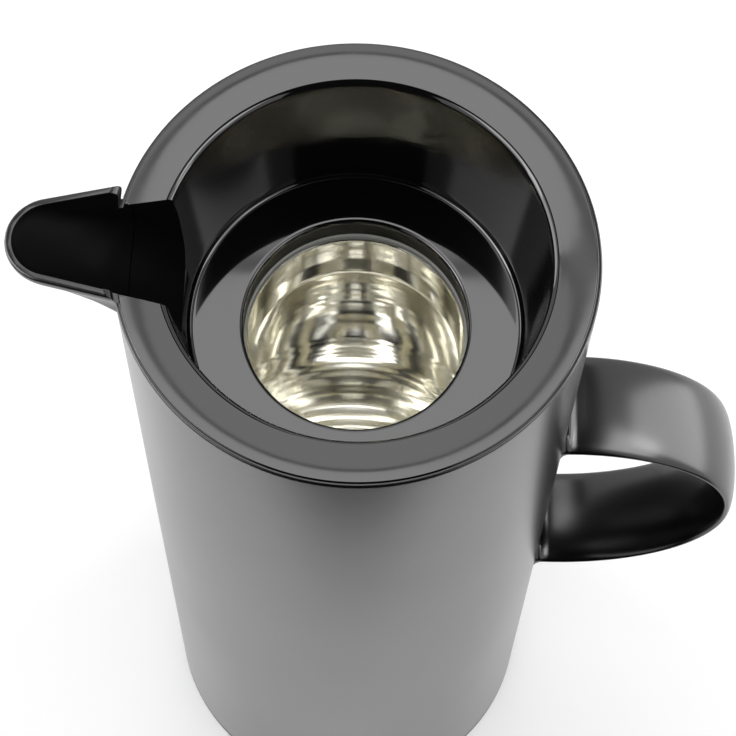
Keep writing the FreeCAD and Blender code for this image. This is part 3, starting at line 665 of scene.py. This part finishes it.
def channel_tool(s, flare_start, flare_round):
    """The space that the drink runs through, flared above a height to round the edge it cuts."""
    levels = channel_levels(s)
    low, high = min(z for z, *_ in levels), max(z for z, *_ in levels)
    heights = list(np.arange(low, high, LEVEL_STEP)) + [high]
    heights += [flare_start + flare_round * share for share in FLARE_SHARES]
    back = s.mouth_radius / MM + COLLAR_WALL
    rows = []
    for height in sorted(set(heights)):
        reach, tip = spline(levels, height)
        rise = min(max(height - flare_start, 0) / flare_round, 1)
        spread = flare_round * (1 - math.sqrt(1 - rise * rise))
        spread += max(height - flare_start - flare_round, 0)
        rows.append([(x, y, height) for x, y in tongue(reach, tip, back, spread)])
    # The channel's faces take the matt material, whose lowered sheen is painted shade
    return skinned("channel_tool", rows, MATERIALS["matt"])


def beak_solid(s):
    """The beak's outside with its rim rounded, as a solid that reaches into the body."""
    levels = beak_levels(s)
    rim, rounding = s.rim_top / MM, s.rim_round / MM
    low = min(z for z, *_ in levels)
    heights = list(np.arange(low, rim - rounding, LEVEL_STEP))
    steps = [(h, 0.0) for h in heights]
    for angle in np.radians(np.linspace(0, 90, RIM_STEPS)):
        steps.append((rim - rounding * (1 - math.sin(angle)), rounding * (math.cos(angle) - 1)))
    rows = []
    for height, spread in steps:
        reach, tip = spline(levels, height)
        back = s.body_radius / MM - s.body_wall / MM - PAST
        rows.append([(x, y, height) for x, y in tongue(reach, tip, back, spread)])
    return skinned("beak_solid", rows, MATERIALS["satin"])


def notch_tool(s):
    """What is cut away above the body's top behind the beak's rim, with the rim's rounded ends."""
    top, rim = s.body_top / MM, s.rim_top / MM
    face = s.body_radius / MM + RIM_GAP
    hub = (face + RIM_CORNER, rim - RIM_CORNER)
    ends = arc(hub, RIM_CORNER, 180, 90, RIM_CORNER_STEPS)
    outline = [Vector((0, top)), Vector((face, top))] + ends
    outline += [Vector((face + RIM_CORNER, rim + PAST)), Vector((0, rim + PAST))]
    return turned("notch_tool", outline, MATERIALS["satin"])


def core_tool(name, radius, low, high):
    outline = [Vector((0, low)), Vector((radius, low)), Vector((radius, high)), Vector((0, high))]
    return turned(name, outline, MATERIALS["satin"])


BODY_EDGE_ROUND = 0.46
FOOT_EDGE_ROUND = 0.4


def make_body(s):
    """The tube with its beak, cut open by the channel."""
    radius, bottom, top = s.body_radius / MM, s.body_bottom / MM, s.body_top / MM
    bore, rim = radius - s.body_wall / MM, s.rim_top / MM
    column = softened([
        (0, bottom, 0), (radius, bottom, FOOT_EDGE_ROUND), (radius, top, BODY_EDGE_ROUND),
        (0, top, 0),
    ], closed=False)
    block = turned("jug_body", column, MATERIALS["satin"])
    beak = carve(beak_solid(s), notch_tool(s), "DIFFERENCE")
    carve(block, beak, "UNION")
    carve(block, core_tool("bore_tool", bore, bottom - PAST, rim + 2 * PAST), "DIFFERENCE")
    carve(block, channel_tool(s, rim - RIM_SOFT, RIM_SOFT), "DIFFERENCE")
    smooth(outward(block))
    place_piece(block, "jug", "satin_black_plastic", "outer_body")


# The handle

# Steps round the band, along its half ring and along each root
HANDLE_AROUND = 72
HANDLE_ALONG = 90
ROOT_STEPS = 14
HANDLE_SHARP_ANGLE = 60


def oval(half_width, half_thickness):
    """An oval section: its width, then its thickness."""
    angles = np.linspace(0, math.tau, HANDLE_AROUND, endpoint=False)
    return [(half_width * math.cos(a), half_thickness * math.sin(a)) for a in angles]


def flare(depth, size):
    """How much a root spreads at a depth above the body, as a quarter round."""
    if depth >= size:
        return 0.0
    rest = size - max(depth, 0.0)
    return size - math.sqrt(size * size - rest * rest)


def make_handle(s):
    """A half ring of oval band whose two roots flare on to the body."""
    radius, spread = s.body_radius / MM, s.handle_flare / MM
    ring, middle = s.handle_ring / MM, s.handle_height / MM
    half_width, half_thickness = s.handle_width / MM / 2, s.handle_thickness / MM / 2
    drop = radius - math.sqrt(radius ** 2 - (half_width + spread) ** 2)
    root = []
    for depth in np.linspace(-drop, spread, ROOT_STEPS):
        width = half_width + flare(depth + drop, spread)
        thickness = half_thickness + flare(depth, spread)
        root.append((radius + depth, width, thickness))
    rows = []
    for x, width, thickness in root:
        rows.append([(x, y, middle + ring + t) for y, t in oval(width, thickness)])
    for angle in np.linspace(math.pi / 2, -math.pi / 2, HANDLE_ALONG)[1:-1]:
        out = Vector((math.cos(angle), math.sin(angle)))
        hub = Vector((radius + spread, middle))
        rows.append([(hub.x + out.x * (ring + t), y, hub.y + out.y * (ring + t))
                     for y, t in oval(half_width, half_thickness)])
    for x, width, thickness in reversed(root):
        rows.append([(x, y, middle - ring - t) for y, t in oval(width, thickness)])
    handle = smooth(skinned("handle_loop", rows, MATERIALS["satin"]), HANDLE_SHARP_ANGLE)
    place_piece(handle, "jug", "satin_black_plastic", "handle")


# The collar

COLLAR_INSET = 0.8
COLLAR_EDGE = 0.5
COLLAR_EDGE_ROUND = 0.3
CROWN_RADIUS = 200.0
CROWN_STEPS = 14
SKIRT_LENGTH = 9.0
SKIRT_CLEARANCE = 0.2
# The lip: the round that sets the wall's lean, the drop of its corner, the round it is drawn with,
# and the points of the crown that this round takes up
LIP_ROUND = 1.0
LIP_DROP = 0.08
LIP_SOFT = 1.5
LIP_POINTS = 4
SKIRT_ROUND = 0.3
UNDER_ROUND = 0.5
# The channel's edge in the ring: where its flare starts above the joint, and its rounding
CHANNEL_EDGE_LIFT = 0.1
CHANNEL_EDGE_ROUND = 0.5
FLOOR_ROUND = 1.2
MOUTH_ROUND = 0.8
MOUTH_WALL = 6.3
GUIDE_RADIUS = 33.3
GUIDE_LENGTH = 6.3
# The ring is turned with the top of the funnel in it, and the rest of the funnel is cut below that
DISH_DEPTH = 3.0
PLATE_DEPTH = 3.6
TROUGH_TOP = 3.3
TROUGH_STEPS = 60


def crown(start, end, radius, steps):
    """Points of an arc that bulges upwards from one point to another."""
    start, end = Vector(start), Vector(end)
    chord = end - start
    rise = math.sqrt(radius ** 2 - (chord.length / 2) ** 2)
    across = Vector((-chord.y, chord.x)).normalized()
    centre = (start + end) / 2 + across * (rise if across.y < 0 else -rise)
    first = math.atan2(start.y - centre.y, start.x - centre.x)
    last = math.atan2(end.y - centre.y, end.x - centre.x)
    angles = np.linspace(first, last, steps + 1)
    return [centre + radius * Vector((math.cos(a), math.sin(a))) for a in angles]


def make_collar(s):
    """Ring, funnel, floor and mouth turned in one, with the trough that leads to the beak."""
    radius, top, mouth = s.body_radius / MM, s.body_top / MM, s.mouth_radius / MM
    funnel = radius - s.ring_width / MM
    floor = funnel - s.funnel_taper / MM
    mouth_top = top - s.funnel_depth / MM
    mouth_bottom = mouth_top - MOUTH_WALL
    skirt = radius - s.body_wall / MM - SKIRT_CLEARANCE
    under = mouth_top - COLLAR_WALL
    plate = top - PLATE_DEPTH
    lean = (funnel - floor) / (top - LIP_ROUND - mouth_top - FLOOR_ROUND)

    def wall(height):
        return funnel + (height - top + LIP_ROUND) * lean

    edge = radius - COLLAR_INSET
    arch = crown((edge, top + COLLAR_EDGE), (funnel + LIP_ROUND, top), CROWN_RADIUS, CROWN_STEPS)
    lip = (wall(top - LIP_DROP), top - LIP_DROP)
    outside = softened([
        (0, mouth_bottom, 0),
        (mouth + COLLAR_WALL, mouth_bottom, SKIRT_ROUND),
        (mouth + COLLAR_WALL, under, 0),
        (GUIDE_RADIUS, under, 0),
        (GUIDE_RADIUS, under - GUIDE_LENGTH, SKIRT_ROUND),
        (GUIDE_RADIUS + COLLAR_WALL, under - GUIDE_LENGTH, SKIRT_ROUND),
        (GUIDE_RADIUS + COLLAR_WALL, under, 0),
        (floor + COLLAR_WALL, under, UNDER_ROUND),
        (wall(plate) + COLLAR_WALL, plate, 0),
        (skirt - COLLAR_WALL, plate, 0),
        (skirt - COLLAR_WALL, top - SKIRT_LENGTH, SKIRT_ROUND),
        (skirt, top - SKIRT_LENGTH, SKIRT_ROUND),
        (skirt, top, 0),
        (edge, top, 0),
        (edge, top + COLLAR_EDGE, COLLAR_EDGE_ROUND),
    ] + [(p.x, p.y, 0) for p in arch[1:-LIP_POINTS]] + [
        (*lip, LIP_SOFT),
        (wall(top - DISH_DEPTH), top - DISH_DEPTH, 0),
        (0, top - DISH_DEPTH, 0),
    ], closed=False)
    inside = softened([
        (0, top - DISH_DEPTH / 2, 0),
        (wall(top - DISH_DEPTH), top - DISH_DEPTH, 0),
        (floor, mouth_top, FLOOR_ROUND),
        (mouth, mouth_top, MOUTH_ROUND),
        (mouth, mouth_bottom - PAST, 0),
        (0, mouth_bottom - PAST, 0),
    ], closed=False)
    gloss = MATERIALS["gloss"]
    collar = turned("collar_funnel", outside, gloss)
    carve(collar, trough_solid(s, skirt), "UNION")
    carve(collar, turned("funnel_tool", inside, gloss), "DIFFERENCE")
    carve(collar, channel_tool(s, top + CHANNEL_EDGE_LIFT, CHANNEL_EDGE_ROUND), "DIFFERENCE")
    smooth(outward(collar))
    place_piece(collar, "jug", "gloss_black_plastic", "collar")


def trough_solid(s, limit):
    """The block that the channel is cut into, kept inside the body's bore."""
    root = s.rim_top / MM - BEAK_DEPTH + s.beak_wall / MM
    levels = [level for level in channel_levels(s) if level[0] <= root]
    solid = [(z - COLLAR_WALL, r + COLLAR_WALL, t + COLLAR_WALL) for z, r, t in levels]
    first = max(solid)
    solid.append((s.body_top / MM - TROUGH_TOP, first[1] + s.beak_wall / MM, first[2]))
    low, high = min(z for z, *_ in solid), max(z for z, *_ in solid)
    back = s.mouth_radius / MM + COLLAR_WALL
    rows = []
    for height in np.linspace(low, high, TROUGH_STEPS):
        reach, tip = spline(solid, height)
        rows.append([(x, y, height) for x, y in tongue(reach, tip, back)])
    block = skinned("trough_solid", rows, MATERIALS["gloss"])
    return carve(block, core_tool("trough_limit", limit, low - PAST, high + PAST), "INTERSECT")


# The glass and what holds it

GLASS_WALL = 1.7
LIP_TOP, LIP_BOTTOM = 230.6, 228.6
NECK_LENGTH = 13.0
DOME_CENTRE = 64.3
INNER_RADIUS, INNER_NECK, INNER_FILLET = 42.1, 26.4, 5.0
OUTER_RADIUS, OUTER_NECK, OUTER_FILLET = 47.4, 31.1, 3.0
NECK_GAP = 3.0
# The outer neck ends just under the lip that it is melted to
LIP_JOIN = 0.1
TIP_RADIUS, TIP_BOTTOM, TIP_ARC_STEPS = 3.0, 10.9, 8
# Steps of the neck's fillet, the shoulder and the dome
OUTSIDE_STEPS = (10, 14, 30)
INSIDE_STEPS = (12, 16, 40)
# Corners of turned outlines from here on: radius, height and rounding
GLASS_LIP = [
    (INNER_NECK - GLASS_WALL, LIP_TOP, 0.8), (OUTER_NECK, LIP_TOP, 0.9),
    (OUTER_NECK, LIP_BOTTOM, 0.6), (INNER_NECK, LIP_BOTTOM, 0.3),
]
GASKET = [
    (25.4, 230.8, 0.4), (31.3, 230.8, 0), (31.3, 226.8, 0.3),
    (33.1, 226.8, 0.4), (33.1, 233.0, 0.5), (25.4, 233.0, 0.5),
]
# The cushion: its hole, foot and height, and the part of the dome that lies in it, in degrees
CUSHION_HOLE, CUSHION_FOOT, CUSHION_BOTTOM = 8, 30, 7.9
SEAT_GAP, SEAT_START, SEAT_END, SEAT_STEPS = 0.3, -51.0, -80.3, 20


def glass_runs(neck, neck_bottom, fillet, radius):
    """Outside and inside of a round-bottomed glass below its neck."""
    shoulder = radius - neck - fillet
    root = (neck + fillet, neck_bottom)
    hub = (neck + fillet, neck_bottom - fillet - shoulder)
    dome = (0, DOME_CENTRE)
    bend, bulge, bowl = OUTSIDE_STEPS
    outside = arc(root, fillet, 180, 270, bend) + arc(hub, shoulder, 90, 0, bulge)
    outside += arc(dome, radius, 0, -90, bowl)
    bend, bulge, bowl = INSIDE_STEPS
    inside = arc(dome, radius - GLASS_WALL, -90, 0, bowl)
    inside += arc(hub, shoulder - GLASS_WALL, 0, 90, bulge)
    inside += arc(root, fillet + GLASS_WALL, 270, 180, bend)
    return outside, inside


def make_liner():
    """The two silvered glasses, the gasket on their lip and the cushion under them."""
    silver, neck_bottom = MATERIALS["silver"], LIP_BOTTOM - NECK_LENGTH
    outside, inside = glass_runs(INNER_NECK, neck_bottom, INNER_FILLET, INNER_RADIUS)
    bead = softened(GLASS_LIP)[:-1]
    inner = turned("inner_glass", supported(bead + outside + inside), silver)
    place_piece(inner, "liner", "silvered_glass", "inner_flask")

    outside, inside = glass_runs(OUTER_NECK, neck_bottom + NECK_GAP, OUTER_FILLET, OUTER_RADIUS)
    neck = [Vector((r, LIP_BOTTOM - LIP_JOIN)) for r in (OUTER_NECK - GLASS_WALL, OUTER_NECK)]
    keep = [p for p in outside if p.x > TIP_RADIUS]
    tip = arc((0, TIP_BOTTOM + TIP_RADIUS), TIP_RADIUS, 0, -90, TIP_ARC_STEPS)
    outer = turned("outer_glass", supported(neck + keep + tip + inside), silver)
    place_piece(outer, "liner", "silvered_glass", "outer_flask")

    gasket = turned("mouth_gasket_ring", softened(GASKET), MATERIALS["gasket"], RING_SEGMENTS)
    place_piece(gasket, "liner", "grey_rubber", "mouth_gasket")
    foot = [Vector((r, CUSHION_BOTTOM)) for r in (CUSHION_HOLE, CUSHION_FOOT)]
    seat = arc((0, DOME_CENTRE), OUTER_RADIUS + SEAT_GAP, SEAT_START, SEAT_END, SEAT_STEPS)
    cushion = turned("base_cushion_cup", supported(foot + seat), MATERIALS["rubber"], RING_SEGMENTS)
    place_piece(cushion, "liner", "black_rubber", "base_cushion")
    dress("flask_spacers", MATERIALS["ceramic"])


# The base

THREAD_RADIUS = 49.0
# Corners of the thread's section: height out of the spigot and place along it
THREAD_SECTION = [(-0.5, -1.1), (1.1, -0.6), (1.1, 0.6), (-0.5, 1.1)]
THREAD_PITCH, THREAD_TURNS, THREAD_START = 5.0, 1.5, 9.8
CAP_RECESS = [(0, 5.2, 0), (39.9, 5.2, 0.5), (39.9, 1.2, 0.4)]
CAP_FOOT_GROOVE = [(42.4, 1.2, 0), (42.4, 2.2, 0), (47.6, 2.2, 0), (47.6, 1.2, 0)]
# Heights and roundings of the flange's lower and upper edge
CAP_FLANGE = [(1.2, 1.6), (3.8, 0.3)]
CAP_SEAL_GROOVE = [(52.0, 3.8, 0), (52.0, 3.1, 0), (50.6, 3.1, 0), (50.6, 3.8, 0)]
CAP_SPIGOT = [(49.0, 3.8, 0), (49.0, 19.4, 0.5), (46.6, 19.4, 0.5), (46.6, 7.6, 0.5), (0, 7.6, 0)]
FOOT_RING = [(42.5, 0, 0.6), (47.5, 0, 0.6), (47.5, 2.2, 0), (42.5, 2.2, 0)]
SEAL_RING = [(50.7, 3.2, 0.2), (51.9, 3.2, 0.2), (51.9, 4.1, 0.3), (50.7, 4.1, 0.3)]
GRIP_HALF, GRIP_LOW, GRIP_HIGH, GRIP_ROUND = 6.0, 1.2, 5.3, 0.6
GRIP_REACH = 39.6


def make_base(s):
    """The screw-out base with its thread, grip bar, seal and foot."""
    satin, black_rubber = MATERIALS["satin"], MATERIALS["rubber"]
    flange = [(s.body_radius / MM, height, rounding) for height, rounding in CAP_FLANGE]
    corners = CAP_RECESS + CAP_FOOT_GROOVE + flange + CAP_SEAL_GROOVE + CAP_SPIGOT
    cap = turned("base_cap_turned", softened(corners, closed=False), satin)
    section = bpy.data.meshes.new("thread_section")
    points = [(along * MM, out * MM, 0) for out, along in THREAD_SECTION]
    count = len(points)
    section.from_pydata(points, [(n, (n + 1) % count) for n in range(count)], [])
    ridge = run_tree(link("thread_ridge", section), TREES["thread"], {
        "Radius": THREAD_RADIUS * MM, "Pitch": THREAD_PITCH * MM, "Turns": THREAD_TURNS,
        "Start": THREAD_START * MM, "Material": satin,
    })
    base = smooth(joined("base_cap_screw", [cap, outward(ridge), grip_bar(satin)]))
    place_piece(base, "base", "satin_black_plastic", "base_cap")
    foot = turned("foot_ring_pad", softened(FOOT_RING), black_rubber, RING_SEGMENTS)
    place_piece(foot, "base", "black_rubber", "foot_ring")
    seal = turned("base_seal_ring", softened(SEAL_RING), black_rubber, RING_SEGMENTS)
    place_piece(seal, "base", "black_rubber", "base_seal")


def grip_bar(material):
    """The bar across the recess that the base is turned by."""
    outline = softened([
        (-GRIP_HALF, GRIP_LOW, GRIP_ROUND), (GRIP_HALF, GRIP_LOW, GRIP_ROUND),
        (GRIP_HALF, GRIP_HIGH, 0), (-GRIP_HALF, GRIP_HIGH, 0),
    ])[:-1]
    rows = [[(x, p.x, p.y) for p in outline] for x in (-GRIP_REACH, GRIP_REACH)]
    return skinned("grip_bar", rows, material)


# Operators

class JUG_OT_materials(bpy.types.Operator):
    """Make the materials and the geometry trees"""

    bl_idname = "jug.materials"
    bl_label = "Make materials"

    def execute(self, context):
        make_materials(context.scene.jug_colours)
        TREES["lathe"] = lathe_tree()
        TREES["thread"] = thread_tree()
        return {"FINISHED"}


class JUG_OT_body(bpy.types.Operator):
    """Make the body with its beak"""

    bl_idname = "jug.body"
    bl_label = "Make body"

    def execute(self, context):
        make_body(context.scene.jug_sizes)
        return {"FINISHED"}


class JUG_OT_handle(bpy.types.Operator):
    """Make the handle and dress its screws"""

    bl_idname = "jug.handle"
    bl_label = "Make handle"

    def execute(self, context):
        make_handle(context.scene.jug_sizes)
        dress("handle_screws", MATERIALS["zinc"])
        return {"FINISHED"}


class JUG_OT_collar(bpy.types.Operator):
    """Make the collar with its funnel"""

    bl_idname = "jug.collar"
    bl_label = "Make collar"

    def execute(self, context):
        make_collar(context.scene.jug_sizes)
        return {"FINISHED"}


class JUG_OT_liner(bpy.types.Operator):
    """Make the glass liner, its gasket and its cushion"""

    bl_idname = "jug.liner"
    bl_label = "Make liner"

    def execute(self, context):
        make_liner()
        return {"FINISHED"}


class JUG_OT_base(bpy.types.Operator):
    """Make the screw-out base"""

    bl_idname = "jug.base"
    bl_label = "Make base"

    def execute(self, context):
        make_base(context.scene.jug_sizes)
        return {"FINISHED"}


class JUG_OT_stage(bpy.types.Operator):
    """Set the table top, the light and the camera"""

    bl_idname = "jug.stage"
    bl_label = "Set stage"

    def execute(self, context):
        make_stage(context.scene)
        return {"FINISHED"}


class JUG_PT_panel(bpy.types.Panel):
    """Lists the pieces of the jug"""

    bl_idname = "JUG_PT_panel"
    bl_label = "Vacuum jug"
    bl_space_type = "VIEW_3D"
    bl_region_type = "UI"
    bl_category = "Jug"

    def draw(self, context):
        for maker in OPERATORS:
            self.layout.operator(maker.bl_idname)
        for group in (context.scene.jug_sizes, context.scene.jug_colours):
            for name in group.__annotations__:
                self.layout.prop(group, name)


# Stage

# Camera fitted to the photo: its place, its right and up directions, and its lens in millimetres
CAMERA_PLACE = (0.0, -0.22159993, 0.74412513)
CAMERA_RIGHT = (0.99968298, 0.02052394, 0.01458469)
CAMERA_UP = (-0.02455694, 0.92266772, 0.38481326)
CAMERA_LENS = 117.3228
SENSOR = 36.0
# The table top ends in front of the jug, so that the body mirrors the dark there
FLOOR_FRONT, FLOOR_BACK, FLOOR_SIDE = -0.14, 3.0, 3.0
# Light panels: place, the point they face, width, depth, radiance,
# whether they light dull surfaces, and whether they show in mirror images
PANELS = {
    "panel_over": ((-0.2, 1.83, 6.0), (-0.2, 1.83, 0.0), 2.0, 1.7, 2.2, True, True),
    "panel_behind": ((-0.2, 5.12, 6.0), (-0.2, 5.12, 0.0), 2.0, 4.76, 1.1, True, True),
    "panel_right": ((1.1, 0.3, 0.7), (0.0, 0.3, 0.7), 0.9, 1.4, 3.0, True, True),
    "panel_left": ((-1.1, 0.3, 0.7), (0.0, 0.3, 0.7), 0.9, 1.4, 3.0, True, True),
    "panel_front_right": ((1.0, -0.2, 1.25), (0.0, 0.0, 0.2), 0.8, 0.9, 4.2, False, True),
    "panel_front_left": ((-1.0, -0.2, 1.25), (0.0, 0.0, 0.2), 0.8, 0.9, 4.2, False, True),
    "panel_front": ((0.0, -0.45, 0.55), (0.0, -0.2, 0.0), 0.5, 0.2, 2.0, True, False),
}
# Black cards that show only in mirror images:
# the way of each from front to back as Y and Z, and its two sides in X
CARDS = {
    "card_front": (
        [(-0.145, 0.0), (-0.7, 0.1), (-0.75, 1.1), (-0.45, 1.52), (0.2, 1.52)], -0.5, 0.5),
    "card_over_left": ([(0.8, 6.1), (7.6, 6.1)], -2.6, -1.2),
    "card_over_right": ([(0.8, 6.1), (7.6, 6.1)], 0.8, 2.2),
    "card_handle": ([(-0.03, 0.36), (0.2, 0.36)], 0.07, 0.12),
}
CARD_COLOUR, BACKDROP_COLOUR = "#050505", "#FFFFFF"
# Light from all round, and what the table top adds where it is looked at
WORLD_FILL = 0.6
FLOOR_GLOW = 0.15
# Light that enters a silvered flask is thrown to and fro many times before it leaves
MIRROR_BOUNCES = 24


def to_eye(tree, low, high):
    """One strength for camera, glossy and transmission rays and another for the rest."""
    path = add(tree, "ShaderNodeLightPath").outputs
    seen = path["Is Camera Ray"]
    for kind in ("Is Glossy Ray", "Is Transmission Ray"):
        seen = add(tree, "ShaderNodeMath", {0: seen, 1: path[kind]}, operation="MAXIMUM").outputs[0]
    strength = add(tree, "ShaderNodeMapRange", {"Value": seen, "To Min": low, "To Max": high})
    return strength.outputs["Result"]


def stage_sheet(name, points, faces, material):
    mesh = bpy.data.meshes.new(name)
    mesh.from_pydata(points, [], faces)
    mesh.materials.append(material)
    thing = link(name, mesh)
    return thing


def make_stage(scene):
    """A pale table top, light panels, black cards, a white backdrop and the camera."""
    material, tree = new_material("table_top_white")
    diffuse = add(tree, "ShaderNodeBsdfDiffuse", {"Color": linear(scene.jug_colours.floor)})
    glow = add(tree, "ShaderNodeEmission", {"Strength": to_eye(tree, 0.0, FLOOR_GLOW)})
    both = add(tree, "ShaderNodeAddShader", {0: diffuse.outputs[0], 1: glow.outputs[0]})
    finish_material(tree, both)
    corners = [(x, y, 0) for y in (FLOOR_FRONT, FLOOR_BACK) for x in (-FLOOR_SIDE, FLOOR_SIDE)]
    stage_sheet("floor", corners, [(0, 1, 3, 2)], material)

    material, tree = new_material("dark_cloth")
    finish_material(tree, add(tree, "ShaderNodeBsdfDiffuse", {"Color": linear(CARD_COLOUR)}))
    for name, (way, left, right) in CARDS.items():
        points = [(x, y, z) for y, z in way for x in (left, right)]
        faces = [(2 * n, 2 * n + 1, 2 * n + 3, 2 * n + 2) for n in range(len(way) - 1)]
        card = stage_sheet(name, points, faces, material)
        card.visible_camera = card.visible_diffuse = False
        card.visible_shadow = card.visible_transmission = False

    for name, (place, target, width, depth, radiance, lights, mirrored) in PANELS.items():
        light = bpy.data.lights.new(name, "AREA")
        light.shape = "RECTANGLE"
        light.size, light.size_y = width, depth
        light.energy = radiance * math.pi * width * depth
        lamp = bpy.data.objects.new(name, light)
        lamp.visible_diffuse, lamp.visible_glossy = lights, mirrored
        turn = (Vector(target) - Vector(place)).to_track_quat("-Z", "Y")
        lamp.matrix_world = Matrix.Translation(place) @ turn.to_matrix().to_4x4()
        scene.collection.objects.link(lamp)

    world = bpy.data.worlds.new("studio")
    world.use_nodes = True
    tree = world.node_tree
    tree.nodes.clear()
    sky = add(tree, "ShaderNodeBackground", {
        "Color": linear(BACKDROP_COLOUR), "Strength": to_eye(tree, WORLD_FILL, 1.0),
    })
    add(tree, "ShaderNodeOutputWorld", {"Surface": sky.outputs[0]})
    scene.world = world

    right, up = Vector(CAMERA_RIGHT), Vector(CAMERA_UP)
    turn = Matrix((right, up, right.cross(up))).transposed().to_4x4()
    data = bpy.data.cameras.new("photo_camera")
    data.sensor_width = SENSOR
    data.lens = CAMERA_LENS
    camera = bpy.data.objects.new("photo_camera", data)
    camera.matrix_world = Matrix.Translation(CAMERA_PLACE) @ turn
    scene.collection.objects.link(camera)
    scene.camera = camera
    scene.view_settings.view_transform = "Standard"
    scene.cycles.max_bounces = scene.cycles.glossy_bounces = MIRROR_BOUNCES


OPERATORS = [
    JUG_OT_materials, JUG_OT_body, JUG_OT_handle, JUG_OT_collar, JUG_OT_liner, JUG_OT_base,
    JUG_OT_stage,
]
CLASSES = [JugSizes, JugColours] + OPERATORS + [JUG_PT_panel]


def register():
    for item in CLASSES:
        bpy.utils.register_class(item)
    bpy.types.Scene.jug_sizes = bpy.props.PointerProperty(type=JugSizes)
    bpy.types.Scene.jug_colours = bpy.props.PointerProperty(type=JugColours)


def unregister():
    del bpy.types.Scene.jug_colours
    del bpy.types.Scene.jug_sizes
    for item in reversed(CLASSES):
        bpy.utils.unregister_class(item)


def main():
    register()
    bpy.ops.jug.materials()
    bpy.ops.jug.body()
    bpy.ops.jug.handle()
    bpy.ops.jug.collar()
    bpy.ops.jug.liner()
    bpy.ops.jug.base()
    bpy.ops.jug.stage()


if __name__ == "__main__":
    main()
